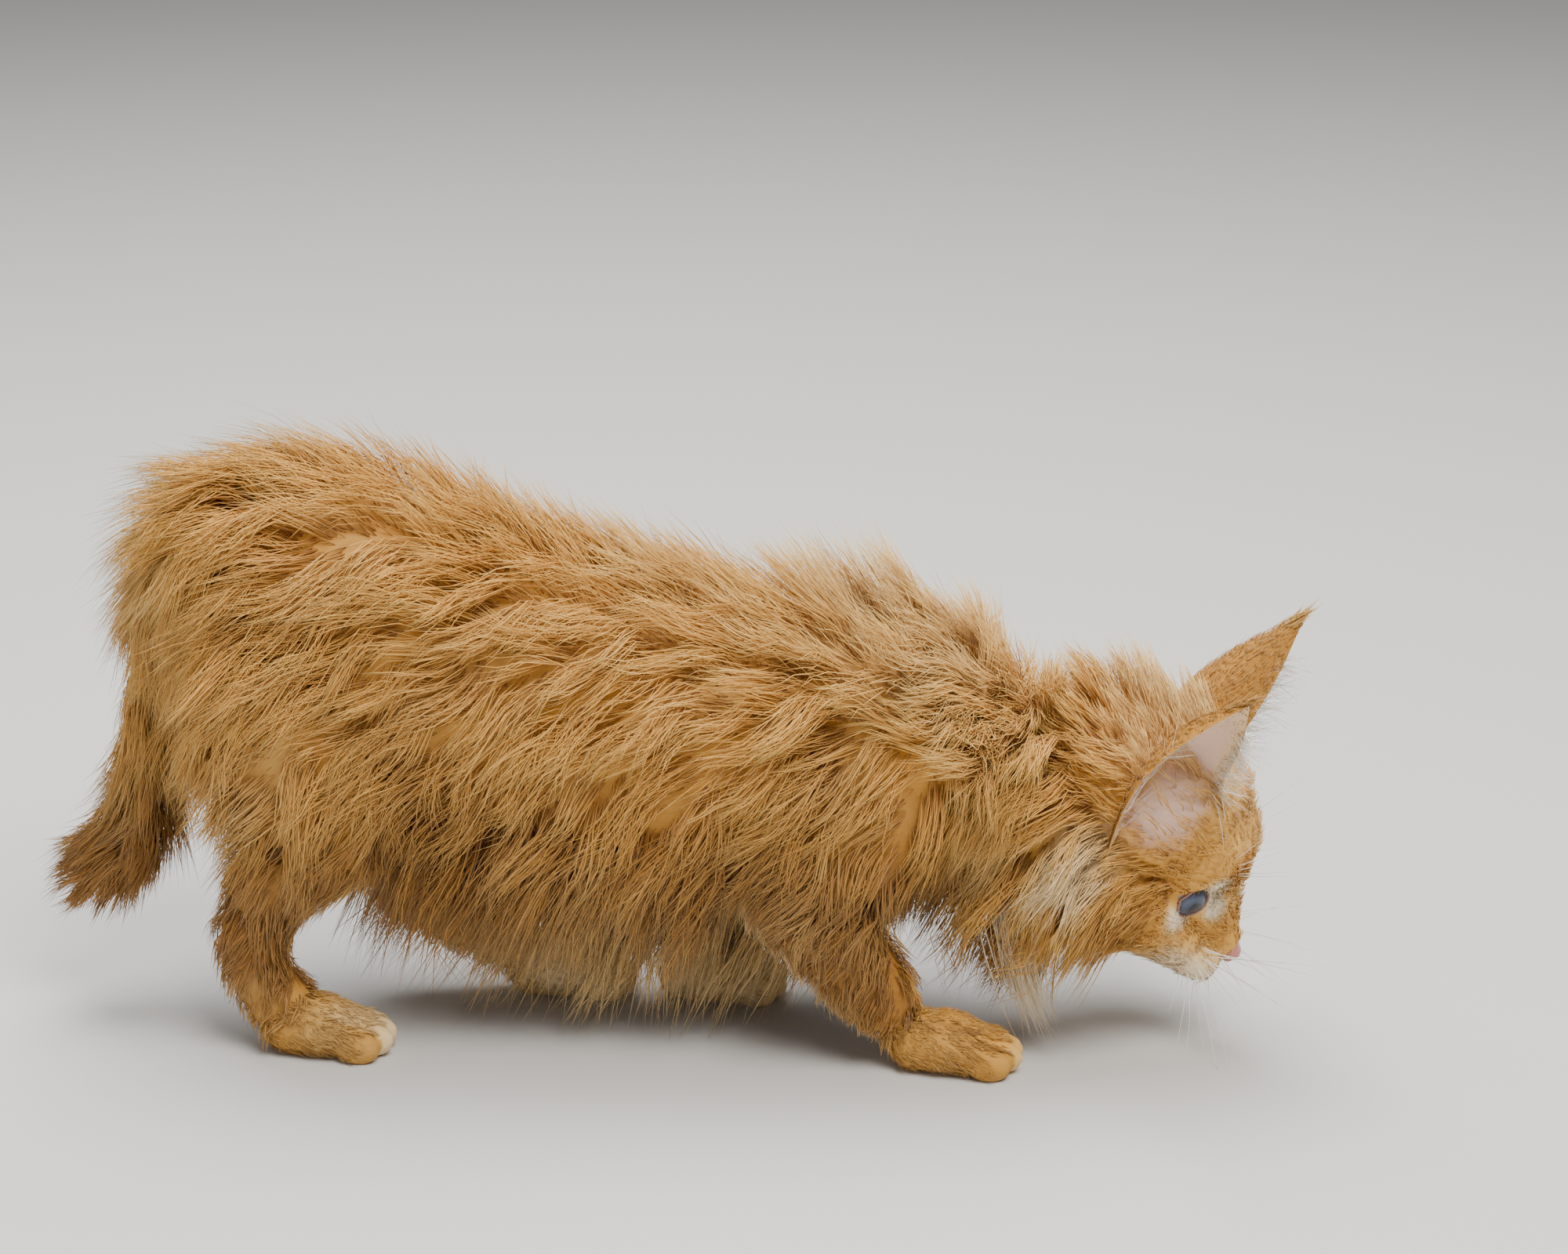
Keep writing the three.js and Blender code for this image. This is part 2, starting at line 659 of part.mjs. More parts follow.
for (const sign of [-1, 1]) {
  head = head.subtract(eyeBall(sign, EYE.radius + GAP)).subtract(eyeOpening(sign));
  addMesh(sign > 0 ? "eye_left" : "eye_right", eyeBall(sign, EYE.radius), "eye", headGroup);
}
addMesh("head", head, "coat", headGroup);
const jaw = union([jawForm.solid(CORE_SHARE), ...lockSolids(beardLocks)]);
addMesh("jaw", jaw.subtract(headCoreGrown), "pale", headGroup);
const nostrils = [-1, 1].map((sign) => ball([46.4, 1.9 * sign, -16.4], [1.6, 0.9, 0.8], 8));
addMesh("nose", noseForm.solid(0).subtract(union(nostrils)), "nose", headGroup);
taken.push(union([fullHead, jawGrown, ...earsGrown]).transform(headOut));

// Neck and torso, parted by a thin cut, with the ruff lying back over the shoulders
const trunk = union(trunkForms.map((form) => form.solid(CORE_SHARE)));
const trunkGrown = union(trunkForms.map((form) => form.solid(CORE_SHARE, GAP)));
const ahead = (x) => box([x, -200, -100], [400, 200, 400]);
const behind = (x) => box([-400, -200, -100], [x, 200, 400]);
const headIn = headGroup.matrix.clone().invert();
const inHead = (p) => nearest(headForms, p.clone().applyMatrix4(headIn)).height < -1;
const ruff = coatOf(
  neckForm,
  { rows: 3, around: 9, from: -0.05, to: 0.95 },
  ruffWay,
  (p, normal) => {
    if (p.x < NECK_BASE + 4 || inHead(p)) return null;
    const low = 0.5 - normal.z / 2;
    return { length: mix(28, 36, low), width: 19, depth: 2.8, lift: 1.3, hang: 1.1 * low };
  },
  trunkForms,
  allLegForms,
);
addNode("neck", "coat", trunk.subtract(behind(NECK_BASE + GAP)), trunkGrown.subtract(behind(NECK_BASE)), ruff);

// The torso's coat lies in three belts on each side: back, flank and hanging fringe
const BELTS = [
  { rows: 7, around: 2, arc: [0, 0.33], length: 42, width: 29, lift: 1.7, hang: 0 },
  { rows: 7, around: 2, arc: [0.31, 0.6], length: 42, width: 29, lift: 1.3, hang: 0.3 },
  { rows: 9, around: 2, arc: [0.56, 0.9], length: 40, width: 24, lift: 1.15, hang: 1.1 },
];
function beltSize(belt) {
  return (p, normal) => {
    if (p.x > NECK_BASE - 5) return null;
    const withers = smoothstep(p.x, 30, 55) * smoothstep(normal.z, 0.3, 0.9);
    const rump = smoothstep(-p.x, 110, 140) * smoothstep(normal.z, -0.2, 0.8);
    return { ...belt, depth: 3, lift: belt.lift + withers + 0.3 * rump };
  };
}
const flanks = [-Math.PI, Math.PI].flatMap((half) =>
  BELTS.flatMap(({ rows, around, arc, ...belt }) =>
    coatOf(
      torsoForm,
      { rows, around, from: 0.02, to: 0.98, arc: arc.map((share) => share * half) },
      trunkWay,
      beltSize(belt),
      trunkForms,
      allLegForms,
    ),
  ),
);
addNode("torso", "coat", trunk.subtract(ahead(NECK_BASE)), trunkGrown.subtract(ahead(NECK_BASE + GAP)), flanks);

// Tail
const tailForms = [tailRootForm, tailBrushForm];
const tailSize = () => ({ length: 33, width: 14, depth: 2.2, lift: 1.1 });
for (const [name, form, rows] of [
  ["tail_root", tailRootForm, 2],
  ["tail_brush", tailBrushForm, 2],
]) {
  const locks = coatOf(form, { rows, around: 5, from: 0.1, to: 1 }, tailWay, tailSize, tailForms, [torsoForm]);
  addNode(name, "coat", form.solid(CORE_SHARE), form.solid(CORE_SHARE, GAP), locks);
}

// Legs, each from the paw up
const LEG_COATS = {
  shoulder: { rows: 2, around: 6, way: legWay(0.75, 0.8), length: 27, width: 16, lift: 1.1, hang: 0.3 },
  forearm: { rows: 2, around: 4, way: legWay(0.6, 0.8), length: 20, width: 12, lift: 1, hang: 0.2 },
  thigh: { rows: 2, around: 6, way: legWay(0.5, 1), length: 29, width: 16, lift: 1.1, hang: 0.2 },
  shank: { rows: 1, around: 5, way: legWay(0.45, 1), length: 22, width: 12, lift: 1, hang: 0.2 },
  hock: { rows: 1, around: 4, way: legWay(0.1, 1), length: 18, width: 11, lift: 1, hang: 0.2 },
};
for (const [side, parts] of Object.entries(LEGS)) {
  const forms = legForms[side];
  const whole = Object.values(forms);
  addNode(`hindpaw_${side}`, "pale", paw(parts.hindpaw), paw(parts.hindpaw, GAP));
  addNode(`forepaw_${side}`, "pale", paw(parts.forepaw), paw(parts.forepaw, GAP));
  for (const [name, { rows, around, way, ...size }] of Object.entries(LEG_COATS)) {
    const form = forms[name];
    const locks = coatOf(form, { rows, around }, way, () => size, whole, trunkForms);
    addNode(`${name}_${side}`, "coat", form.solid(CORE_SHARE), form.solid(CORE_SHARE, GAP), locks);
  }
}

// The origin is on the floor under the middle of the whole kitten.
figure.updateMatrixWorld(true);
const middle = new THREE.Box3().setFromObject(figure, true).getCenter(v3());
figure.position.set(-middle.x, -middle.y, 0);

export default figure;
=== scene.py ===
import math

import bpy
import numpy as np
from mathutils import Matrix, Vector, noise
from mathutils.bvhtree import BVHTree
from mathutils.kdtree import KDTree


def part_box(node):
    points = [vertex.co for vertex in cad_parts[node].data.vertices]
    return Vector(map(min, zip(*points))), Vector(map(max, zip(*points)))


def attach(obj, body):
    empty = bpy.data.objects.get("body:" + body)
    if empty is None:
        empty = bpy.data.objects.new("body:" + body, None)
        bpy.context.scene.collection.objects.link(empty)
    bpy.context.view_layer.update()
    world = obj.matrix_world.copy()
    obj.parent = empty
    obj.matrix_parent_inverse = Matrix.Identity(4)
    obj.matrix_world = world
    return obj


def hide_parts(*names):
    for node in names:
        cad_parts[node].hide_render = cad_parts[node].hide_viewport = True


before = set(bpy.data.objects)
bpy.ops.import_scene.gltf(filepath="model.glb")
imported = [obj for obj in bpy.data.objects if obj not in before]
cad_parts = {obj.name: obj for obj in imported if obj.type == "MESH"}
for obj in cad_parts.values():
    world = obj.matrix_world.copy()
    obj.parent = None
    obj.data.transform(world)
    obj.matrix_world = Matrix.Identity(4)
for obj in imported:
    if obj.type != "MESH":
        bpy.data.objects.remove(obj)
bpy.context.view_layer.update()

MM = 0.001
rng = np.random.default_rng(11)

# Forms of the body. Stations: centre x, y, z, half-width, half-height, coat depth.
TORSO = [
    [-146, 0, 134, 15, 21, 9],
    [-134, 0, 132, 26, 31, 11],
    [-106, 0, 126, 33, 38, 12],
    [-70, 0, 106, 38, 42, 12],
    [-25, 0, 92, 39, 42, 13],
    [20, 0, 87, 36, 37, 13],
    [52, 0, 86, 31, 35, 13],
    [72, 0, 81, 25, 27, 12],
]
NECK = [
    [64, 0, 87, 24, 26, 12],
    [84, -1, 72, 23, 25, 12],
    [99, -2, 68, 22, 26, 12],
    [113, -2, 66, 20, 24, 11],
]
TAIL = [
    [-146, 1, 136, 8, 8, 8],
    [-157, 2, 120, 6.5, 6.5, 8],
    [-161, 2, 100, 5.5, 5.5, 8],
    [-163, 3, 82, 5, 5, 8.5],
    [-167, 3, 64, 4.8, 4.8, 9.5],
    [-173, 3, 51, 5, 5, 10],
    [-180, 3, 43, 5, 5, 9],
]
LEGS = {
    "right": {
        "shoulder": [[48, -21, 94, 14, 28, 9], [40, -26, 74, 13, 23, 9], [28, -29, 58, 11, 17, 8]],
        "forearm": [[25, -29, 54, 10, 14, 8], [39, -28, 35, 9, 12, 8], [51, -28, 19, 8, 10, 5]],
        "thigh": [[-116, -19, 116, 15, 30, 9], [-112, -26, 93, 13, 28, 8], [-109, -28, 70, 11, 20, 7]],
        "shank": [[-106, -28, 66, 9, 14, 7], [-119, -28, 56, 8, 12.5, 7], [-128, -27, 46, 7.5, 10, 7]],
        "hock": [[-131, -27, 38, 7, 8.5, 6], [-130, -27, 26, 7, 8.5, 5.5], [-123, -27, 14, 7.5, 9, 5]],
    },
    "left": {
        "shoulder": [[50, 21, 92, 14, 27, 9], [43, 25, 72, 13, 21, 9], [34, 26, 58, 11, 16, 8]],
        "forearm": [[32, 26, 54, 10, 13, 7], [13, 22, 36, 8.5, 11, 6], [-5, 19, 19, 8, 10, 5]],
        "thigh": [[-114, 19, 116, 15, 30, 9], [-98, 25, 93, 13, 27, 8], [-83, 27, 70, 11, 19, 7]],
        "shank": [[-78, 26, 66, 9, 13, 7], [-90, 24, 53, 8, 11, 7], [-98, 22, 42, 7.5, 9.5, 6]],
        "hock": [[-95, 21.5, 33, 7, 8.5, 6], [-82, 20, 24, 7, 8, 5.5], [-62, 20, 15, 7.5, 8, 5]],
    },
}
# Paws: node, place on the floor and turn in degrees
PAWS = {
    "hindpaw_right": (-109, -27, -3),
    "forepaw_right": (71, -28, -2),
    "hindpaw_left": (-44, 20, 4),
    "forepaw_left": (1, 19, 3),
}
PAW_STATIONS = [[-13, 0, 8.1, 8.5, 8.5, 2], [-2, 0, 7.6, 10.4, 8.6, 1.5], [7, 0, 5.6, 9.4, 6.2, 1]]
TOES = [(9.6, -8.2, 4.4), (12.6, -2.9, 4.9), (12.6, 2.9, 4.9), (9.6, 8.2, 4.4)]
TOE_RADII = (6.6, 3.3, 5.0)

# The head's own frame: x to the nose, y to its left, z up.
HEAD_PLACE = np.array([124.0, -2.0, 66.0])
HEAD_TURN = {"pitch": 38, "yaw": -5, "roll": 6}
CRANIUM = [
    [-22, 0, 8, 21, 18, 9], [-8, 0, 8, 25, 23.5, 8], [5, 0, 7, 25, 24, 4.5], [13, 0, 5, 20, 20, 2.5],
]
FACE = [
    [11, 0, -7, 18, 15, 3], [24, 0, -8, 13.5, 12, 2],
    [33, 0, -11.5, 9, 8.5, 1.5], [39.5, 0, -14, 6.3, 5.6, 1],
]
CHEEK = [
    [-6, 16, -12, 12, 15, 8], [8, 14, -16, 12, 13, 6], [20, 10, -18, 9, 10, 3], [28, 8, -19, 7.5, 8.5, 2],
]
BRIDGE = [[8, 0, 8, 17, 17, 3], [19, 0, 1, 12.5, 15, 2.5], [30, 0, -6, 8, 7.5, 2]]
PAD = [[31, 6, -20.3, 7.4, 7, 2], [38.5, 4.8, -21.2, 6.2, 6, 1.5]]
JAW = [[2, 0, -26, 12, 8, 6], [20, 0, -26, 8.5, 6, 4], [35, 0, -26, 5, 4, 2]]
NOSE = [[40, 0, -13.4, 4.4, 3.8, 0], [44, 0, -15.4, 4.0, 3.1, 0]]
NOSTRIL = {"place": (46.6, 2.1, -16.2), "radius": 1.3, "depth": 1.4}
# Eye: ball, how far it stands out, thickness of its lid, half-length and heights of the opening
EYE = {
    "place": (18.6, 9.8, -4.6), "radius": 6.6, "proud": 1.1, "lid": 0.5,
    "long": 4.8, "upper": 5.9, "lower": 5.4,
}
EAR = {"front": (6, 11, 24), "back": (-17, 2, 18), "low": (-7, 28, -4)}
EAR_TIPS = {"left": (-1, 34, 66), "right": (-9, 35, 62)}
EAR_FORM = {"bow": 4, "lip": 8, "flare": 0.12, "wall": 1.5, "tip_wall": 0.6, "across": 36, "upward": 30}

GAZE = (0.68, 0.73, 0.0)  # direction of an eye's gaze
IRIS_SPREAD = 52  # degrees from the middle of the pupil to the white of the eye
LID_RADIUS = 0.4
SKIN_CELL = 1.15  # size of the skin's remeshed cells
SKIN_SMOOTHING = {"factor": 0.5, "iterations": 4}
SKIN_LOW = 0.15  # height of the soles over the floor
ROOT_SINK = 1.2  # depth of a hair's root in the skin
FLOOR_CLEAR = 0.8  # least height of a clump's path over the floor
PATCH = 0.003  # width of a hair's patch on the unwrap
HAIR_REACH = (0.62, 1.1)  # least and greatest length of a hair as a share of its clump's path
PAW_HAIRS = {"count": 4100, "clumps": 260, "coat": 1.3}
THROAT_LOCK = {"root": (86, -16, 48), "tip": (95, -18, 9), "count": 240}
EAR_HAIRS = {"back": 2400, "front": 240, "tip": 130}
WHISKERS = {"muzzle": 15, "brow": 5, "radius": 0.2, "brow_radius": 0.15, "steps": 10, "sides": 4}
FLOOR_HALF = 4.0


# Vectors in rows of an array
def unit(v):
    return v / np.maximum(np.linalg.norm(v, axis=-1, keepdims=True), 1e-9)


def dot(a, b):
    return np.sum(a * b, axis=-1)


def ramp(value, low, high):
    """0 below low, 1 above high and smooth between."""
    t = np.clip((value - low) / (high - low), 0, 1)
    return t * t * (3 - 2 * t)


def turns(count):
    """Angles once round, in even steps."""
    return np.linspace(0, 2 * math.pi, count, endpoint=False)


def near(points, place, radius):
    """1 at a place, fading to 0 at a distance of the radius."""
    return 1 - ramp(np.linalg.norm(points - np.array(place, float), axis=1), 0.35 * radius, radius)


def near_pair(local, place, radius):
    """Near a place on the head or the one across from it."""
    return sum(near(local, np.array(place) * [1, s, 1], radius) for s in (-1, 1))


HEAD_MATRIX = np.array(
    Matrix.Rotation(math.radians(HEAD_TURN["yaw"]), 3, "Z")
    @ Matrix.Rotation(math.radians(HEAD_TURN["pitch"]), 3, "Y")
    @ Matrix.Rotation(math.radians(HEAD_TURN["roll"]), 3, "X")
)


def from_head(points):
    return np.asarray(points, float) @ HEAD_MATRIX.T + HEAD_PLACE


def turn_from_head(vectors):
    return np.asarray(vectors, float) @ HEAD_MATRIX.T


def to_head(points):
    return (points - HEAD_PLACE) @ HEAD_MATRIX


def frame_shift():
    """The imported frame's offset from the drawing frame, from the middle between the eyes."""
    low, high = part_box("eye_left")
    low2, high2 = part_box("eye_right")
    packed = np.array((low + high + low2 + high2) / 4) / MM
    x, _, z = EYE["place"]
    return packed - from_head([[x, 0, z]])[0]


SHIFT = frame_shift()


def row(points):
    """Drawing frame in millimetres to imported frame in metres."""
    return (np.asarray(points, float) + SHIFT) * MM


# Swept forms
def curve(stations, t):
    """Centripetal Catmull-Rom curve through the stations, at each t from 0 to 1."""
    first = 2 * stations[0] - stations[1]
    last = 2 * stations[-1] - stations[-2]
    points = np.vstack([first, stations, last])
    place = np.clip(t, 0, 1) * (len(stations) - 1)
    i = np.minimum(place.astype(int), len(stations) - 2)
    w = (place - i)[:, None]
    p = [points[i + k] for k in range(4)]
    gap = [np.maximum(np.linalg.norm(p[k + 1] - p[k], axis=1, keepdims=True) ** 0.5, 1e-4) for k in range(3)]
    m1 = (p[1] - p[0]) / gap[0] - (p[2] - p[0]) / (gap[0] + gap[1]) + (p[2] - p[1]) / gap[1]
    m2 = (p[2] - p[1]) / gap[1] - (p[3] - p[1]) / (gap[1] + gap[2]) + (p[3] - p[2]) / gap[2]
    m1 = m1 * gap[1]
    m2 = m2 * gap[1]
    a = 2 * p[1] - 2 * p[2] + m1 + m2
    b = -3 * p[1] + 3 * p[2] - 2 * m1 - m2
    return p[1] + m1 * w + b * w**2 + a * w**3


class Form:
    """A rounded body swept along a curve, with elliptical sections and domed ends."""

    def __init__(self, stations, reference=(0, 0, 1), in_head=False, dome=0.8):
        table = np.array(stations, float)
        self.line = table[:, :3]
        self.sizes = table[:, 3:]
        self.reference = np.array(reference, float)
        self.in_head = in_head
        self.dome = dome
        steps = curve(self.line, np.linspace(0, 1, 40))
        self.length = np.linalg.norm(np.diff(steps, axis=0), axis=1).sum()

    def surface(self, t, angle):
        """Points on the flesh, with the coat's depth there. t runs past 0 and 1 over the domes."""
        over = np.where(t < 0, t, np.maximum(t - 1, 0)) * self.length
        inner = np.clip(t, 0, 1)
        centre = curve(self.line, inner)
        along = unit(curve(self.line, inner + 2e-3) - curve(self.line, inner - 2e-3))
        side = unit(np.cross(self.reference, along))
        up = unit(np.cross(along, side))
        wide, tall, coat = curve(self.sizes, inner).T
        reach = self.dome * np.minimum(wide, tall)
        bend = np.clip(over / reach, -math.pi / 2, math.pi / 2)
        across = (np.sin(angle) * wide * np.cos(bend))[:, None] * side
        upward = (np.cos(angle) * tall * np.cos(bend))[:, None] * up
        points = centre + across + upward + (np.sin(bend) * reach)[:, None] * along
        if self.in_head:
            points = from_head(points)
        return points, np.maximum(coat, 0)

    def ends(self):
        """How far t runs past 0 and 1 to close the domes."""
        return [self.dome * min(row[0], row[1]) * math.pi / 2 / self.length for row in self.sizes[[0, -1]]]

    def mesh(self, rings=30, sides=32, dome_rings=6):
        low, high = self.ends()
        t = np.concatenate([
            np.linspace(-low, 0, dome_rings, endpoint=False),
            np.linspace(0, 1, rings),
            np.linspace(1, 1 + high, dome_rings + 1)[1:],
        ])
        angle = turns(sides)
        points, _ = self.surface(np.repeat(t, sides), np.tile(angle, len(t)))
        return points, grid_faces(len(t), sides)

    def area(self):
        wide, tall, _ = self.sizes.mean(axis=0)
        return self.length * math.pi * (wide + tall)

    def scatter(self, count):
        """Random places on the form: point, depth of coat and place on the unwrap."""
        low, high = self.ends()
        t = rng.uniform(-low * 0.9, 1 + high * 0.9, count)
        angle = rng.uniform(0, 2 * math.pi, count)
        unwrapped = np.stack([(t + low) / (1 + low + high), angle / (2 * math.pi)], axis=1)
        return *self.surface(t, angle), unwrapped


def grid_faces(rows, columns, closed=True):
    """Quads between the rows of a grid of points, joined round when closed."""
    i = np.arange(rows - 1)[:, None]
    j = np.arange(columns if closed else columns - 1)[None, :]
    k = (j + 1) % columns
    near_row, far_row = i * columns, (i + 1) * columns
    return np.stack([near_row + j, near_row + k, far_row + k, far_row + j], axis=-1).reshape(-1, 4)


def mirrored(stations):
    return [[x, -y, z, *sizes] for x, y, z, *sizes in stations]


torso_form = Form(TORSO)
neck_form = Form(NECK)
tail_form = Form(TAIL, reference=(1, 0, 0), dome=0.9)
leg_forms = {
    (side, part): Form(stations, reference=(1, 0, 0))
    for side, parts in LEGS.items()
    for part, stations in parts.items()
}
head_forms = [
    Form(stations, in_head=True)
    for stations in (CRANIUM, FACE, BRIDGE, CHEEK, mirrored(CHEEK), PAD, mirrored(PAD), JAW)
]
paw_form = Form(PAW_STATIONS, dome=0.7)


def ball(centre, radii, rings=14, sides=20):
    """A closed ellipsoid as points and quads."""
    polar = np.linspace(0, math.pi, rings)
    around = turns(sides)
    p, a = np.repeat(polar, sides), np.tile(around, rings)
    shape = np.stack([np.sin(p) * np.cos(a), np.sin(p) * np.sin(a), np.cos(p)], axis=1)
    return shape * np.array(radii, float) + np.array(centre, float), grid_faces(rings, sides)


def paw_place(name, points):
    """From a paw's own frame to its place on the floor."""
    x, y, turn = PAWS[name]
    c, s = math.cos(math.radians(turn)), math.sin(math.radians(turn))
    return points @ np.array([[c, s, 0], [-s, c, 0], [0, 0, 1]]) + np.array([x, y, 0])


# Meshes and objects
def add_mesh(name, points, faces, slot, materials):
    """A smooth mesh object from arrays of points (drawing frame) and of quads or triangles."""
    mesh = bpy.data.meshes.new(name)
    blocks = faces if isinstance(faces, list) else [faces]
    corners = np.concatenate([block.ravel() for block in blocks])
    sizes = np.concatenate([np.full(len(block), block.shape[1]) for block in blocks])
    mesh.vertices.add(len(points))
    mesh.vertices.foreach_set("co", row(points).astype(np.float32).ravel())
    mesh.loops.add(len(corners))
    mesh.loops.foreach_set("vertex_index", corners.astype(np.int32))
    mesh.polygons.add(len(sizes))
    starts = np.concatenate([[0], np.cumsum(sizes)[:-1]])
    mesh.polygons.foreach_set("loop_start", starts.astype(np.int32))
    mesh.update(calc_edges=True)
    mesh.polygons.foreach_set("use_smooth", np.full(len(sizes), True))
    mesh.validate()
    obj = bpy.data.objects.new(name, mesh)
    bpy.context.scene.collection.objects.link(obj)
    for material in materials:
        mesh.materials.append(material)
    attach(obj, "root")
    return obj


def set_attributes(obj, **values):
    """Float attributes of a mesh's points, each one value or one for each point."""
    for name, value in values.items():
        layer = obj.data.attributes.new(name, "FLOAT", "POINT")
        values_row = np.zeros(len(layer.data), np.float32) + np.asarray(value, np.float32)
        layer.data.foreach_set("value", values_row)


def set_unwrap(obj, uv):
    """OFBake, from one place on the unwrap for each vertex."""
    corners = np.empty(len(obj.data.loops), np.int32)
    obj.data.loops.foreach_get("vertex_index", corners)
    layer = obj.data.uv_layers.new(name="OFBake")
    layer.data.foreach_set("uv", uv[corners].astype(np.float32).ravel())


# Markings and painted shade, from a place on the skin, shared by skin and coat
def wobble(points, size):
    """Smooth noise from -1 to 1 at each point."""
    return np.array([noise.noise(Vector(p / size)) for p in points])


def markings_and_shade(points):
    """Shares of pale cream and of rusty marks with painted shade at each point."""
    x, y, z = points.T
    local = to_head(points)
    u, v, w = local.T
    in_head = ramp(u, -34, -24) * (np.abs(v) < 42)
    soft = wobble(points, 16)
    fine = wobble(points + 50, 6)
    belly = (1 - ramp(z, 48, 66)) * ramp(x, -125, -90) * (1 - ramp(x, 20, 55)) * (np.abs(y) < 34)
    back = ramp(z, 100, 132) * ramp(x, -70, 20) * 0.25
    withers = near(points, (66, 0, 112), 44) * 0.42 + near(points, (102, 0, 88), 26) * 0.25
    rump = near(points, (-158, 0, 150), 34) * 0.3
    lower = (1 - ramp(z, 6, 30)) * 0.15
    ruff = near(points, (98, -20, 62), 26) * 0.35 + near(points, (98, 18, 62), 26) * 0.35
    pale = np.clip(belly * 0.6 + back + withers + rump + ruff + lower * (x > -150) + 0.25 * soft, 0, 1)
    # Painted shade: darker over the shoulder and foreleg, the thigh and the lower flank, over every low part
    # though less near the floor, and on the tail's lower part
    shade = near(points, (30, 0, 70), 55) * 0.45 + near(points, (-70, 0, 80), 70) * 0.3
    shade = shade + 1.05 * (1 - ramp(z, 45, 104)) * (1 - 0.4 * belly) * (0.52 + 0.48 * ramp(z, 8, 30))
    shade = shade + 0.35 * (1 - ramp(x, -150, -138)) * (1 - ramp(z, 90, 130))
    bars = ramp(np.sin(z * 0.34 + 0.12 * x), 0.35, 0.95) * (z < 62) * (z > 12) * (x > -25) * 0.5
    # The rusty share carries this painted shade along with the tabby bars and the random tone
    rust = np.clip(shade + bars + 0.35 * soft + 0.2 * fine, 0, 1)
    # Head: orange forehead, pale muzzle, brows and rings round the eyes, paler cheeks' edge
    muzzle = ramp(u, 16, 32) * (1 - ramp(w, -21, -11))
    bridge = near(local, (33, 0, 2), 11) * 0.35 + near(local, (14, 0, 22), 28) * 0.35
    crown = (1 - ramp(u, -6, 8)) * ramp(w, 12, 24) * 0.5
    brow = near_pair(local, (24, 11, 3), 8)
    ring = near_pair(local, (21, 15, -11), 7.5) + near_pair(local, (29.5, 9, -4), 6.5)
    chin = (1 - ramp(w, -31, -25)) * ramp(u, 4, 20)
    cheek_edge = near_pair(local, (-11, 26, -8), 16) * 0.78
    head_pale = np.clip(muzzle * 0.95 + bridge + crown + brow + ring + chin + cheek_edge, 0, 1)
    stripe = ramp(np.sin(v * 0.95), 0.5, 1) * ramp(w, 14, 22) * 0.25
    head_rust = np.clip(0.1 + stripe + 0.2 * soft, 0, 1)
    cheek_dark = near_pair(local, (9, 21, -17), 13) * 0.5
    pale = pale * (1 - in_head) + in_head * head_pale
    rust = rust * (1 - in_head) + in_head * np.clip(head_rust + cheek_dark - head_pale, 0, 1)
    return pale, rust


# Materials
def new_material(name):
    material = bpy.data.materials.new(name)
    material.use_nodes = True
    nodes = material.node_tree.nodes
    return material, nodes, material.node_tree.links, nodes["Principled BSDF"]


def value_node(nodes, name):
    node = nodes.new("ShaderNodeAttribute")
    node.attribute_name = name
    return node.outputs["Fac"]


def mixed(nodes, links, factor, a, b):
    """A colour between a and b. Each is a colour or an output."""
    node = nodes.new("ShaderNodeMix")
    node.data_type = "RGBA"
    for socket, value in ((node.inputs[0], factor), (node.inputs[6], a), (node.inputs[7], b)):
        if isinstance(value, bpy.types.NodeSocket):
            links.new(value, socket)
        else:
            socket.default_value = value if isinstance(value, float) else (*value, 1)
    return node.outputs[2]


def calculated(nodes, links, operation, a, b):
    node = nodes.new("ShaderNodeMath")
    node.operation = operation
    for socket, value in zip(node.inputs, (a, b)):
        if isinstance(value, bpy.types.NodeSocket):
            links.new(value, socket)
        else:
            socket.default_value = value
    return node.outputs[0]


# Colours of the coat from the darkest roots to the palest tips
FUR_STOPS = [
    (0.0, (0.16, 0.05, 0.007)),
    (0.28, (0.46, 0.185, 0.028)),
    (0.6, (0.78, 0.41, 0.08)),
    (0.85, (0.92, 0.62, 0.18)),
    (1.0, (0.96, 0.77, 0.36)),
]
# Dark rusty colour for the rusty marks, dark enough to stand for the painted shade as well
RUSTY_AND_SHADE = (0.22, 0.08, 0.012)
CREAM_ROOT = (0.74, 0.46, 0.15)
PALE_ROOT = (0.87, 0.7, 0.45)
GOLD_TIP = (0.98, 0.72, 0.27)
CREAM_TIP = (0.98, 0.88, 0.68)
PINK = (0.78, 0.56, 0.47)
FUR_LEVEL = {"base": 0.21, "tip": 0.32, "tint": 0.34}
# How much of the rusty colour the rusty marks and the painted shade bring in at most
RUST_AND_SHADE_SHARE = 0.75
WHITER_POWER = 2.4


def colour_stops(nodes, links, level, stops):
    """The colour at a level, between stops from 0 to 1."""
    node = nodes.new("ShaderNodeValToRGB")
    elements = node.color_ramp.elements
    for place, colour in stops[1:-1]:
        elements.new(place).color = (*colour, 1)
    elements[0].color = (*stops[0][1], 1)
    elements[-1].color = (*stops[-1][1], 1)
    links.new(level, node.inputs[0])
    return node.outputs[0]


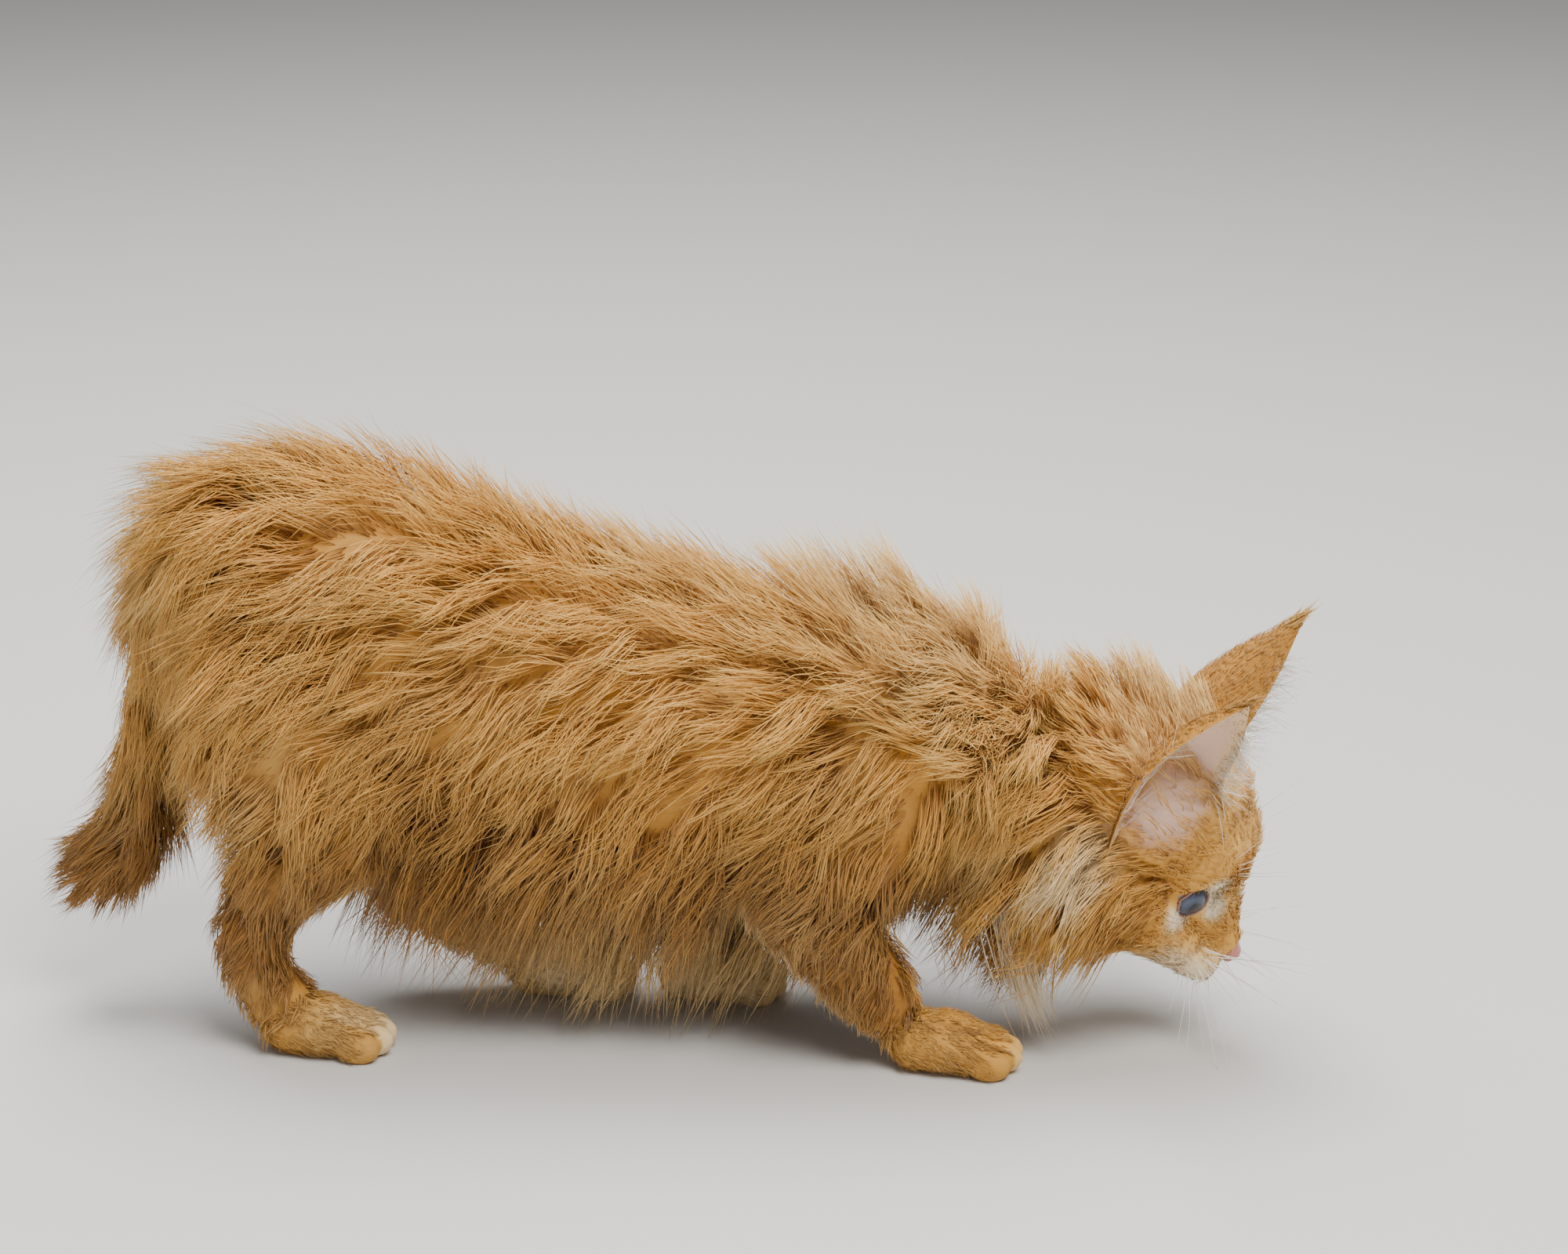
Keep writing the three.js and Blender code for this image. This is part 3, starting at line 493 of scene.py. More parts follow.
def fur_colour(nodes, links):
    """Coat colour from the hair's tint, the place along it, the marks and the painted shade."""
    tip, tint = value_node(nodes, "tip"), value_node(nodes, "tint")
    level = calculated(nodes, links, "MULTIPLY_ADD", tip, FUR_LEVEL["tip"])
    share = calculated(nodes, links, "MULTIPLY_ADD", tint, FUR_LEVEL["tint"])
    share.node.inputs[2].default_value = FUR_LEVEL["base"]
    links.new(share, level.node.inputs[2])
    # The rusty marks and the painted shade darken the coat towards the rusty colour
    rust = calculated(nodes, links, "MULTIPLY", value_node(nodes, "rust"), RUST_AND_SHADE_SHARE)
    coat = mixed(nodes, links, rust, colour_stops(nodes, links, level, FUR_STOPS), RUSTY_AND_SHADE)
    pale = value_node(nodes, "pale")
    whiter = calculated(nodes, links, "POWER", pale, WHITER_POWER)
    root_cream = mixed(nodes, links, whiter, CREAM_ROOT, PALE_ROOT)
    cream = mixed(nodes, links, tip, root_cream, mixed(nodes, links, whiter, GOLD_TIP, CREAM_TIP))
    coat = mixed(nodes, links, pale, coat, cream)
    return mixed(nodes, links, value_node(nodes, "bare"), coat, PINK)


def coat_material():
    material, nodes, links, shader = new_material("coat")
    links.new(fur_colour(nodes, links), shader.inputs["Base Color"])
    shader.inputs["Roughness"].default_value = 0.55
    shader.inputs["Specular IOR Level"].default_value = 0.25
    shader.inputs["Sheen Weight"].default_value = 0.12
    shader.inputs["Sheen Roughness"].default_value = 0.5
    return material


def skin_material():
    """The short pile close to the skin: the coat's colours over a fine streaky bump."""
    material, nodes, links, shader = new_material("skin")
    links.new(fur_colour(nodes, links), shader.inputs["Base Color"])
    shader.inputs["Roughness"].default_value = 0.7
    shader.inputs["Specular IOR Level"].default_value = 0.2
    coordinates = nodes.new("ShaderNodeTexCoord")
    stretch = nodes.new("ShaderNodeMapping")
    stretch.inputs["Scale"].default_value = (500, 1100, 900)
    grain = nodes.new("ShaderNodeTexNoise")
    grain.inputs["Scale"].default_value = 1.0
    grain.inputs["Detail"].default_value = 3.0
    bump = nodes.new("ShaderNodeBump")
    bump.inputs["Strength"].default_value = 0.5
    bump.inputs["Distance"].default_value = 0.0006
    links.new(coordinates.outputs["Object"], stretch.inputs["Vector"])
    links.new(stretch.outputs[0], grain.inputs["Vector"])
    links.new(grain.outputs[0], bump.inputs["Height"])
    links.new(bump.outputs[0], shader.inputs["Normal"])
    return material


def plain_material(name, colour, roughness, specular=0.5, coat=0.0):
    material, _, _, shader = new_material(name)
    shader.inputs["Base Color"].default_value = (*colour, 1)
    shader.inputs["Roughness"].default_value = roughness
    shader.inputs["Specular IOR Level"].default_value = specular
    shader.inputs["Coat Weight"].default_value = coat
    shader.inputs["Coat Roughness"].default_value = 0.04
    return material


EYE_STOPS = [
    (0.0, (0.006, 0.007, 0.01)),
    (0.3, (0.008, 0.01, 0.014)),
    (0.36, (0.035, 0.045, 0.07)),
    (0.6, (0.075, 0.095, 0.15)),
    (0.8, (0.045, 0.06, 0.095)),
    (0.9, (0.025, 0.03, 0.04)),
    (0.97, (0.3, 0.22, 0.2)),
    (1.0, (0.6, 0.5, 0.47)),
]


def eye_material():
    """Rings round the gaze: pupil, slate-blue iris with fine rays, dark edge, white of the eye."""
    material, nodes, links, shader = new_material("eye")
    rays = nodes.new("ShaderNodeTexNoise")
    rays.inputs["Scale"].default_value = 900
    coordinates = nodes.new("ShaderNodeTexCoord")
    links.new(coordinates.outputs["Object"], rays.inputs["Vector"])
    spread = calculated(nodes, links, "MULTIPLY", rays.outputs[0], 0.16)
    shifted = calculated(nodes, links, "ADD", value_node(nodes, "ring"), spread)
    centred = calculated(nodes, links, "SUBTRACT", shifted, 0.08)
    links.new(colour_stops(nodes, links, centred, EYE_STOPS), shader.inputs["Base Color"])
    shader.inputs["Roughness"].default_value = 0.4
    shader.inputs["Specular IOR Level"].default_value = 0.3
    shader.inputs["Coat Weight"].default_value = 0.45
    shader.inputs["Coat Roughness"].default_value = 0.02
    return material


COAT = coat_material()
SKIN = skin_material()
EYEBALL = eye_material()
NOSE_LEATHER = plain_material("nose_leather", (0.5, 0.17, 0.14), 0.35, coat=0.3)
LID = plain_material("lid", (0.3, 0.15, 0.12), 0.5, coat=0.1)
WHISKER = plain_material("whisker", (0.9, 0.87, 0.8), 0.4)
WHITE_HAIR = plain_material("white_hair", (0.95, 0.9, 0.82), 0.5, specular=0.3)


# Skin
def eye_frame(sign):
    """Centre, forward, upward and outward directions of one eye in the head's frame."""
    x, y, z = EYE["place"]
    outward = unit(np.array([0.62, 0.76 * sign, 0.12]))
    upward = unit(np.array([0, 0, 1]) - outward * outward[2])
    forward = np.cross(upward, outward) * sign
    return np.array([x, y * sign, z]) + EYE["proud"] * outward, unit(forward), upward, outward


def lid_height(x):
    """The upper and lower lids' edges over a place from the outer corner to the inner one."""
    share = np.clip(1 - (x / EYE["long"]) ** 2, 0, 1)
    slant = -0.12 * x
    return slant + EYE["upper"] * share**0.8, slant - EYE["lower"] * share**0.9


def between_lids(local, sign, margin, shallow, deep):
    """Whether each place is in an eye's opening, and how far out from the eye's centre it is."""
    centre, forward, upward, outward = eye_frame(sign)
    offset = local - centre
    x, y, depth = offset @ forward, offset @ upward, offset @ outward
    upper, lower = lid_height(x)
    inside = (np.abs(x) < EYE["long"] + margin) & (y < upper + margin) & (y > lower - margin)
    return inside & (depth > shallow) & (depth < EYE["radius"] + deep), depth


def carve_eyes(points):
    """Sets the skin back behind the eyeball inside the almond between the lids."""
    local = to_head(points)
    for sign in (-1, 1):
        inside, depth = between_lids(local, sign, 0, 1, 4)
        local[inside] -= eye_frame(sign)[3] * (depth[inside, None] - 2.5)
    return from_head(local)


def mouth_line():
    """The line of the mouth on one side, from under the nose to the corner, in the head's frame."""
    return np.array([[43.5, 0, -21], [42.5, 1.5, -24], [38, 5.5, -26.5], [31, 9, -26], [24, 11.5, -24.5]])


def bare_skin(points):
    """Share of bare skin: line of the mouth, rims of the eyes and the patch behind each ear's base."""
    local = to_head(points)
    bare = np.zeros(len(points))
    for sign in (-1, 1):
        line = mouth_line() * [1, sign, 1]
        for t in np.linspace(0, 1, 24):
            place = curve(line, np.array([t]))[0]
            bare = np.maximum(bare, 0.75 * near(local, place, 1.9))
        centre = np.array(EYE["place"]) * [1, sign, 1]
        bare = np.maximum(bare, 0.5 * near(local, centre + [5, 4 * sign, -1], 4))
        bare = np.maximum(bare, 0.3 * near(local, (-14, 27 * sign, -2), 9))
    return np.maximum(bare, 0.85 * ear_floor(local))


def ear_floor(local):
    """1 on the floor of each ear's cup, between the roots of its edges."""
    between = ramp(local[:, 0], -14, -9) * (1 - ramp(local[:, 0], 4, 10))
    return between * np.maximum(*[near(local, (-4, 20 * sign, 17), 18) for sign in (-1, 1)])


def skin_parts():
    """Overlapping closed meshes of all flesh forms."""
    parts = [form.mesh() for form in (torso_form, neck_form, tail_form, *leg_forms.values(), *head_forms)]
    for name in PAWS:
        foot, faces = paw_form.mesh()
        parts.append((paw_place(name, foot), faces))
        for place in TOES:
            toe, faces = ball(place, TOE_RADII)
            parts.append((paw_place(name, toe), faces))
    for sign in (-1, 1):
        lid, faces = ball(eye_frame(sign)[0], (EYE["radius"] + EYE["lid"],) * 3)
        parts.append((from_head(lid), faces))
    return parts


def remeshed(parts):
    """One closed surface round all parts: its points and quads."""
    offsets = np.cumsum([0] + [len(points) for points, _ in parts[:-1]])
    points = np.vstack([part[0] for part in parts])
    faces = np.vstack([part[1] + offset for part, offset in zip(parts, offsets)])
    rough = add_mesh("skin_rough", points, faces, "coat", [])
    remesh = rough.modifiers.new("cells", "REMESH")
    remesh.mode = "VOXEL"
    remesh.voxel_size = SKIN_CELL * MM
    smooth = rough.modifiers.new("smooth", "SMOOTH")
    smooth.factor = SKIN_SMOOTHING["factor"]
    smooth.iterations = SKIN_SMOOTHING["iterations"]
    evaluated = rough.evaluated_get(bpy.context.evaluated_depsgraph_get())
    mesh = bpy.data.meshes.new_from_object(evaluated)
    bpy.data.objects.remove(rough)
    co = np.empty(len(mesh.vertices) * 3, np.float32)
    mesh.vertices.foreach_get("co", co)
    quads = np.empty(len(mesh.polygons) * 4, np.int32)
    mesh.polygons.foreach_get("vertices", quads)
    bpy.data.meshes.remove(mesh)
    return co.reshape(-1, 3) / MM - SHIFT, quads.reshape(-1, 4)


def skin_piece():
    points, quads = remeshed(skin_parts())
    points = carve_eyes(points)
    points[:, 2] = np.maximum(points[:, 2], SKIN_LOW)
    obj = add_mesh("skin", points, quads, "coat", [SKIN])
    pale, rust = markings_and_shade(points)
    # Painted shade: the skin is darker under the long coat, so the gaps between its hairs read as shadow; it
    # is lighter where the fur is short, on the face and the paws
    short = np.maximum(ramp(to_head(points)[:, 0], -10, 12), 1 - ramp(points[:, 2], 10, 24))
    tint = 0.5 + 0.2 * wobble(points, 3.0)
    set_attributes(obj, pale=pale, rust=rust, bare=bare_skin(points), tip=0.3 + 0.25 * short, tint=tint)
    flesh = ["torso", "neck", "tail_root", "tail_brush", "head", "jaw", *PAWS]
    flesh += [f"{part}_{side}" for side, parts in LEGS.items() for part in parts]
    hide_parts(*flesh)
    return points, quads


skin_points, skin_quads = skin_piece()
skin_tree = BVHTree.FromPolygons(skin_points.tolist(), skin_quads.tolist())


def on_skin(points):
    """The nearest skin to each point: place, outward direction and signed distance."""
    found = [skin_tree.find_nearest(Vector(p)) for p in points]
    places = np.array([f[0] for f in found])
    normals = np.array([f[1] for f in found])
    return places, normals, dot(points - places, normals)


# Hair
def hair_guides(roots, normals, way, length, depth, lift, hang, wave, stand=0.0):
    """Paths of the clumps' middle hairs, laid along the coat over the skin in four steps."""
    steps = 4
    count = len(roots)
    place, out = roots.copy(), normals.copy()
    paths, outs = [roots.copy()], [normals.copy()]
    phase = rng.uniform(0, 2 * math.pi, count)
    stray = np.clip(rng.normal(0, 1, (count, 3)), -1.8, 1.8)
    for k in range(1, steps + 1):
        t = k / steps
        heading = unit(way(place, out))
        sideways = unit(np.cross(out, heading))
        swing = wave * np.sin(phase + 4.2 * t)
        heading = heading + swing[:, None] * sideways + 0.16 * stray
        heading[:, 2] -= hang * t
        inward = np.minimum(dot(heading, out), 0)
        heading = unit(heading - inward[:, None] * out)
        place = place + heading * (length / steps * np.sqrt(1 - stand**2))[:, None]
        nearest, out, height = on_skin(place)
        target = depth * (0.2 + 0.8 * lift * t**0.8) + stand * length * t
        raised = np.where((height < target) | (hang < 0.05), target, height)
        place = place + (raised - height)[:, None] * out
        place[:, 2] = np.maximum(place[:, 2], FLOOR_CLEAR)
        paths.append(place.copy())
        outs.append(out.copy())
    return np.stack(paths, axis=1), np.stack(outs, axis=1)


def along_path(paths, t):
    """A place on each path at t from 0 to a little past 1."""
    last = paths.shape[1] - 1
    x = np.clip(t, 0, 1.15) * last
    i = np.minimum(x.astype(int), last - 1)
    w = (x - i)[:, None]
    rows = np.arange(len(paths))
    return paths[rows, i] * (1 - w) + paths[rows, i + 1] * w


# Width of a hair at each of its rings, by their number, and its section's corners across and upward
WIDTHS = {3: [0.8, 1.0, 0.65], 2: [1.0, 0.75]}
SECTION = ((-0.5, -0.12), (0.5, -0.12), (0, 0.24))


def hair_spines(roots, outs, paths, normals, offset, settings):
    """Lines of the hairs from root to tip, gathered towards their paths, and the way out along them."""
    rings, count = settings["rings"], len(roots)
    reach = rng.uniform(*HAIR_REACH, count)
    layer = rng.uniform(0, 1, count) ** 1.6 * settings.get("layer", 0.55)
    frizz = np.clip(rng.normal(0, 1, (count, 3)), -1.8, 1.8) * settings["frizz"]
    sweep = np.linalg.norm(paths[:, -1] - paths[:, 0], axis=1)
    clump = settings["clump"](roots)[:, None] if callable(settings["clump"]) else settings["clump"]
    spine, leans = [], []
    for k in range(rings + 1):
        share = k / rings
        lean = along_path(normals, share * reach)
        place = along_path(paths, share * reach) + offset * (1 - clump * share**0.9)
        place = place + frizz * (sweep * share**1.5)[:, None]
        spine.append(place - lean * (layer * settings["depth"] * share**0.7)[:, None])
        leans.append(lean)
    spine[0] = roots - outs * ROOT_SINK
    spine = np.stack(spine, axis=1)
    spine[:, 1:, 2] = np.maximum(spine[:, 1:, 2], FLOOR_CLEAR * 0.5)
    return spine, unit(np.stack(leans, axis=1))


def hair_points(spine, lean, widths, profile):
    """Corners of the three-sided rings round each spine, with its tip as the last point."""
    count, rings = len(spine), len(profile)
    heading = np.empty_like(spine)
    heading[:, :-1] = spine[:, 1:] - spine[:, :-1]
    heading[:, -1] = heading[:, -2]
    heading = unit(heading)
    roll = rng.uniform(-0.7, 0.7, count)[:, None, None]
    side = unit(np.cross(lean, heading))
    up = np.cross(heading, side)
    side, up = side * np.cos(roll) + up * np.sin(roll), up * np.cos(roll) - side * np.sin(roll)
    spread = (widths[:, None] * np.array(profile))[:, :, None]
    points = np.empty((count, rings * 3 + 1, 3))
    for corner, (across, upward) in enumerate(SECTION):
        at_ring = spine[:, :rings] + side[:, :rings] * spread * across + up[:, :rings] * spread * upward
        points[:, corner : rings * 3 : 3] = at_ring
    points[:, -1] = spine[:, -1]
    return points.reshape(-1, 3)


def hair_faces(rings, count):
    """Quads along the hairs, and the triangles that close their roots and tips."""
    around = [(ring * 3, corner, (corner + 1) % 3) for ring in range(rings) for corner in range(3)]
    quads = [[r + a, r + b, r + b + 3, r + a + 3] for r, a, b in around[:-3]]
    triangles = [[0, 2, 1]] + [[r + a, r + b, rings * 3] for r, a, b in around[-3:]]
    starts = np.arange(count)[:, None, None] * (rings * 3 + 1)
    return [(np.array(block)[None] + starts).reshape(-1, len(block[0])) for block in (quads, triangles)]


def strands(name, roots, outs, atlas, guides, settings, extra=None, material=COAT):
    """One piece of coat: closed three-sided tapered hairs that gather towards their guides."""
    guide_roots, guide_paths, guide_outs, guide_tint = guides
    rings, count = settings["rings"], len(roots)
    tree = KDTree(len(guide_roots))
    for i, p in enumerate(guide_roots):
        tree.insert(Vector(p), i)
    tree.balance()
    owner = np.array([tree.find(Vector(p))[1] for p in roots])
    offset = roots - guide_roots[owner]
    spine, lean = hair_spines(roots, outs, guide_paths[owner], guide_outs[owner], offset, settings)
    widths = settings["width"] * rng.uniform(0.7, 1.25, count)
    points = hair_points(spine, lean, widths, WIDTHS[rings])
    obj = add_mesh(name, points, hair_faces(rings, count), "coat", [material])
    per_hair = rings * 3 + 1
    share = np.append(np.repeat(np.arange(rings) / rings, 3), 1.0)
    tint = np.clip(0.62 * guide_tint[owner] + 0.38 * rng.uniform(0, 1, count), 0, 1)
    pale, rust = markings_and_shade(roots)
    if extra:
        pale, rust, tint = extra(roots, pale, rust, tint)
    tint, pale, rust = (np.repeat(values, per_hair) for values in (tint, pale, rust))
    set_attributes(obj, tip=np.tile(share, count), tint=tint, pale=pale, rust=rust, bare=0)
    across = np.append(np.tile([-0.5, 0.5, 0.0], rings), 0.0)
    patch = np.stack([across, share - 0.5], axis=1) * PATCH
    uv = 0.01 + 0.98 * np.repeat(atlas, per_hair, axis=0) + np.tile(patch, (count, 1))
    set_unwrap(obj, np.clip(uv, 0, 1))


def rooted(form, count, facing, off=2.6):
    """Places scattered on a form that show on the skin: roots, outward directions, unwrap, coat."""
    points, coat, atlas = form.scatter(count)
    places, normals, _ = on_skin(points)
    kept = (np.linalg.norm(points - places, axis=1) < off) & facing(normals)
    return places[kept], normals[kept], atlas[kept], coat[kept]


def grow(name, forms, base, pieces=1, keep=None, **changes):
    """Grows the coat of a few forms that share one lie, in one or more pieces."""
    settings = {"facing": everywhere, "stand": 0, "fullness": 1, **base, **changes}
    sown, guided = [], []
    for i, form in enumerate(forms):
        area = form.area()
        hairs = rooted(form, int(area * settings["density"]), settings["facing"])
        hairs[2][:, 0] = (hairs[2][:, 0] + i) / len(forms)
        sown.append(hairs)
        guided.append(rooted(form, int(area / settings["spacing"] ** 2), settings["facing"]))
    roots, outs, atlas, _ = (np.concatenate(column) for column in zip(*sown))
    guide_roots, guide_outs, _, coats = (np.concatenate(column) for column in zip(*guided))
    if keep:
        shown = keep(roots)
        roots, outs, atlas = roots[shown], outs[shown], atlas[shown]
    count = len(guide_roots)

    def setting(key):
        """A setting at the clumps' roots, given as a number or as a function of the place."""
        given = settings[key]
        return given(guide_roots, guide_outs) if callable(given) else np.full(count, float(given))

    length = setting("length") * rng.uniform(0.85, 1.15, count)
    lift = setting("lift") * rng.uniform(0.85, 1.2, count)
    paths, normals = hair_guides(
        guide_roots, guide_outs, settings["way"], length, coats * settings["fullness"], lift,
        setting("hang"), settings["wave"], setting("stand"),
    )
    tint = np.clip(0.5 + 0.32 * wobble(guide_roots, 11) + rng.normal(0, 0.11, count), 0, 1)
    guides = (guide_roots, paths, normals, tint)
    settings["depth"] = float(np.mean(coats))
    for i, part in enumerate(np.array_split(np.argsort(atlas[:, 0]), pieces)):
        piece_name = name if pieces == 1 else f"{name}_{i + 1}"
        patch = atlas[part]
        patch[:, 0] = (patch[:, 0] - patch[:, 0].min()) / max(np.ptp(patch[:, 0]), 1e-6)
        strands(piece_name, roots[part], outs[part], patch, guides, settings)


def everywhere(outs):
    return np.ones(len(outs), bool)


# The lie of the coat
def trunk_way(points, outs):
    low = 0.5 - outs[:, 2] / 2
    down = np.clip(0.12 + 2.0 * low**1.4, 0, 1.5)
    rump = ramp(-points[:, 0], 118, 150)
    return np.stack([-1 + 0.6 * rump, outs[:, 1] * 0.15, -down - 0.6 * rump], axis=1)


def ruff_way(points, outs):
    low = 0.5 - outs[:, 2] / 2
    return np.stack([np.full(len(points), -0.8), outs[:, 1] * 0.25, -0.2 - 1.1 * low], axis=1)


def tail_way(points, outs):
    bend = 1 - ramp(points[:, 2], 35, 75)
    splay = (0.15 + 0.4 * bend)[:, None] * outs
    return np.stack([-0.1 - 0.6 * bend, 0 * bend, -1 + 0.45 * bend], axis=1) + splay


def leg_way(back, down):
    return lambda points, outs: np.tile([-back, 0.0, -down], (len(points), 1))


def upper_way(points, outs):
    """Down the leg, turning into the lie of the trunk towards the top of the shoulder and the thigh."""
    high = ramp(points[:, 2], 72, 104)[:, None]
    down = leg_way(0.62, 0.9)(points, outs)
    return down * (1 - high) + trunk_way(points, outs) * high


def head_way(points, outs):
    u, v, w = to_head(points).T
    cheek = (1 - ramp(w, -8, 8)) * (1 - ramp(u, 8, 22))
    heading = np.stack([-1 + 0.75 * cheek, 0.02 * v + 0.012 * v * cheek, 0.12 - 1.0 * cheek], axis=1)
    return turn_from_head(heading)


def torso_length(points, outs):
    x = points[:, 0]
    low = 0.5 - outs[:, 2] / 2
    belly = ramp(low, 0.5, 0.95) * ramp(x, -118, -85) * (1 - ramp(x, 30, 60))
    return 30 + 17 * belly - 4 * ramp(x, 20, 60)


def torso_lift(points, outs):
    return 0.82 + 0.38 * ramp(outs[:, 2], 0.1, 0.9)


def torso_stand(points, outs):
    """How upright the hair stands: most on the withers, and some over the rump."""
    x = points[:, 0]
    top = ramp(outs[:, 2], 0.0, 0.8)
    upright = 0.06 + 0.56 * ramp(x, 18, 50) + 0.3 * ramp(-x, 100, 138)
    return top * upright * (1 - 0.8 * ramp(outs[:, 0], 0.2, 0.6))


def torso_hang(points, outs):
    return 0.9 * ramp(-outs[:, 2], 0.0, 0.8)


def head_length(points, outs):
    u, _, w = to_head(points).T
    crown = (1 - ramp(u, -6, 10)) * ramp(w, 4, 14)
    cheek = (1 - ramp(u, 2, 20)) * (1 - ramp(w, -6, 6))
    jaw = ramp(-w, 18, 27) * (1 - ramp(u, 20, 34))
    local = to_head(points)
    lids = 1 - 0.65 * np.maximum(*[near(local, np.array(EYE["place"]) * [1, s, 1], 15) for s in (-1, 1)])
    return lids * 3.2 + 2.2 * (1 - ramp(u, 8, 26)) + 10 * crown + 16 * cheek + 13 * jaw * (1 - cheek)


def on_head(formula):
    """A setting of the head's coat, from how far ahead and how high a place is on the head."""
    def value(points, outs=None):
        ahead, _, high = to_head(points).T
        return formula(ahead, high)

    return value


def clear_of_eyes(points):
    """Whether each root is clear of the eyes, the nose leather and most of the ears' floor."""
    local = to_head(points)
    clear = np.ones(len(points), bool)
    for sign in (-1, 1):
        clear &= ~between_lids(local, sign, 0.6, -2, 5)[0]
    nose = np.linalg.norm(local - np.array([43.5, 0, -15.5]), axis=1) < 4.2
    return clear & ~nose & (ear_floor(local) < rng.uniform(0.3, 1.1, len(points)))


BODY = {"rings": 3, "width": 0.42, "clump": 0.36, "wave": 0.5, "spacing": 5.8, "frizz": 0.085}
LIMB = {"rings": 3, "width": 0.42, "clump": 0.35, "wave": 0.25, "spacing": 4.2, "frizz": 0.07}
SHORT = {"rings": 2, "width": 0.34, "clump": 0.2, "wave": 0.15, "spacing": 3, "frizz": 0.06}

grow(
    "coat_torso", [torso_form], BODY, pieces=4, density=0.8, way=trunk_way, length=torso_length,
    lift=torso_lift, hang=torso_hang, stand=torso_stand, facing=lambda outs: outs[:, 0] < 0.8,
)
grow(
    "coat_belly", [torso_form], BODY, density=0.8, width=0.62, way=trunk_way, length=torso_length,
    lift=0.9, hang=torso_hang,
    keep=lambda points: (points[:, 2] < 74) & (points[:, 0] > -105) & (points[:, 0] < 48),
)
grow(
    "coat_neck", [neck_form], BODY, density=1.5, way=ruff_way, wave=0.35, clump=0.4, spacing=5,
    length=lambda p, n: (23 + 12 * ramp(-n[:, 2], -0.2, 0.8)) * (0.45 + 0.55 * ramp(p[:, 0], 64, 84)),
    lift=lambda p, n: 1.1 + 0.2 * ramp(n[:, 2], 0.2, 0.9),
    stand=lambda p, n: 0.3 * ramp(n[:, 2], 0.0, 0.8),
    hang=lambda p, n: 0.9 * ramp(-n[:, 2], -0.2, 0.7),
)
grow(
    "coat_tail", [tail_form], BODY, density=1.8, spacing=4.5, way=tail_way, wave=0.3, clump=0.3,
    length=lambda p, n: 28 - 13 * (1 - ramp(p[:, 2], 44, 78)), lift=1.25, hang=0.1,
)
for side in LEGS:
    grow(
        f"coat_upper_{side}", [leg_forms[side, part] for part in ("shoulder", "thigh")], BODY,
        density=0.95, way=upper_way, length=lambda p, n: 21 + 7 * ramp(p[:, 2], 72, 104),
        lift=0.95, hang=0.25,
    )
    grow(
        f"coat_lower_{side}", [leg_forms[side, part] for part in ("forearm", "shank", "hock")], LIMB,
        density=1.02, way=leg_way(0.35, 1), length=lambda p, n: 8 + 7 * ramp(p[:, 2], 12, 50),
        lift=0.8, hang=0, fullness=0.75,
    )
grow(
    "coat_head", head_forms, SHORT, pieces=3, keep=clear_of_eyes, rings=3, density=1.98, way=head_way,
    length=head_length, wave=0.3,
    lift=on_head(lambda ahead, high: 0.8 + 0.7 * ((1 - ramp(ahead, -10, 6)) * ramp(high, 8, 18))),
    hang=on_head(lambda ahead, high: 0.6 * (1 - ramp(ahead, 14, 30)) * (1 - ramp(high, -16, -4))),
    clump=on_head(lambda ahead, high: 0.1 + 0.25 * (1 - ramp(ahead, -8, 12))),
    stand=on_head(lambda ahead, high: 0.4 * (1 - ramp(ahead, -8, 10)) * ramp(high, 8, 20)),
)
grow(
    "coat_wisps", [torso_form, neck_form], BODY, density=0.06, spacing=4, width=0.26, clump=0.0,
    frizz=0.12, way=trunk_way, length=22, lift=1, hang=0, stand=0.34, layer=0.0,
    facing=lambda outs: outs[:, 0] < 0.6,
    keep=lambda points: (points[:, 2] > 96) & (np.abs(points[:, 1]) < 30),
)


def throat_lock():
    """The pale lock that hangs from the throat to a point near the floor."""
    steps = np.linspace(0, 1, 5)[:, None]
    path = np.array(THROAT_LOCK["root"]) * (1 - steps) + np.array(THROAT_LOCK["tip"]) * steps
    path[:, 0] -= 3 * np.sin(math.pi * steps[:, 0])
    count = THROAT_LOCK["count"]
    roots = path[0] + rng.normal(0, 1, (count, 3)) * [3.4, 2.4, 2]
    outs = np.tile([0.0, -1.0, 0.0], (count, 1))
    guides = (path[:1], path[None], np.tile([0.0, -1.0, 0.0], (1, 5, 1)), np.array([0.8]))
    settings = {**BODY, "clump": 0.85, "depth": 1, "layer": 0}
    atlas = 0.5 + (roots - path[0])[:, [0, 2]] / 40
    shades = lambda places, pale, rust, tint: (np.full(count, 0.95), np.zeros(count), tint)
    strands("coat_throat_lock", roots, outs, atlas, guides, settings, shades)


throat_lock()


def paw_coat(name):
    """Short fur over a foot and its toes, lying forward and down."""
    points, _, atlas = paw_form.scatter(PAW_HAIRS["count"])
    points = paw_place(name, points)
    places, normals, _ = on_skin(points)
    kept = (np.linalg.norm(points - places, axis=1) < 6) & (places[:, 2] > 1.2)
    roots, outs, atlas = places[kept], normals[kept], atlas[kept]
    count = PAW_HAIRS["clumps"]
    chosen = rng.choice(len(roots), count, replace=False)
    guides, guide_outs = roots[chosen], outs[chosen]
    turn = math.radians(PAWS[name][2])
    ahead = np.array([math.cos(turn), math.sin(turn), -0.35])
    length = rng.uniform(3.5, 5.5, count)
    paths, normals = hair_guides(
        guides, guide_outs, lambda p, n: np.tile(ahead, (len(p), 1)), length,
        np.full(count, PAW_HAIRS["coat"]), np.full(count, 0.8), np.zeros(count), 0.2,
    )
    tint = np.clip(0.55 + 0.3 * wobble(guides, 5) + rng.normal(0, 0.1, count), 0, 1)
    settings = {**SHORT, "depth": 1.2}
    strands(f"coat_{name}", roots, outs, atlas, (guides, paths, normals, tint), settings)


for name in PAWS:
    paw_coat(name)


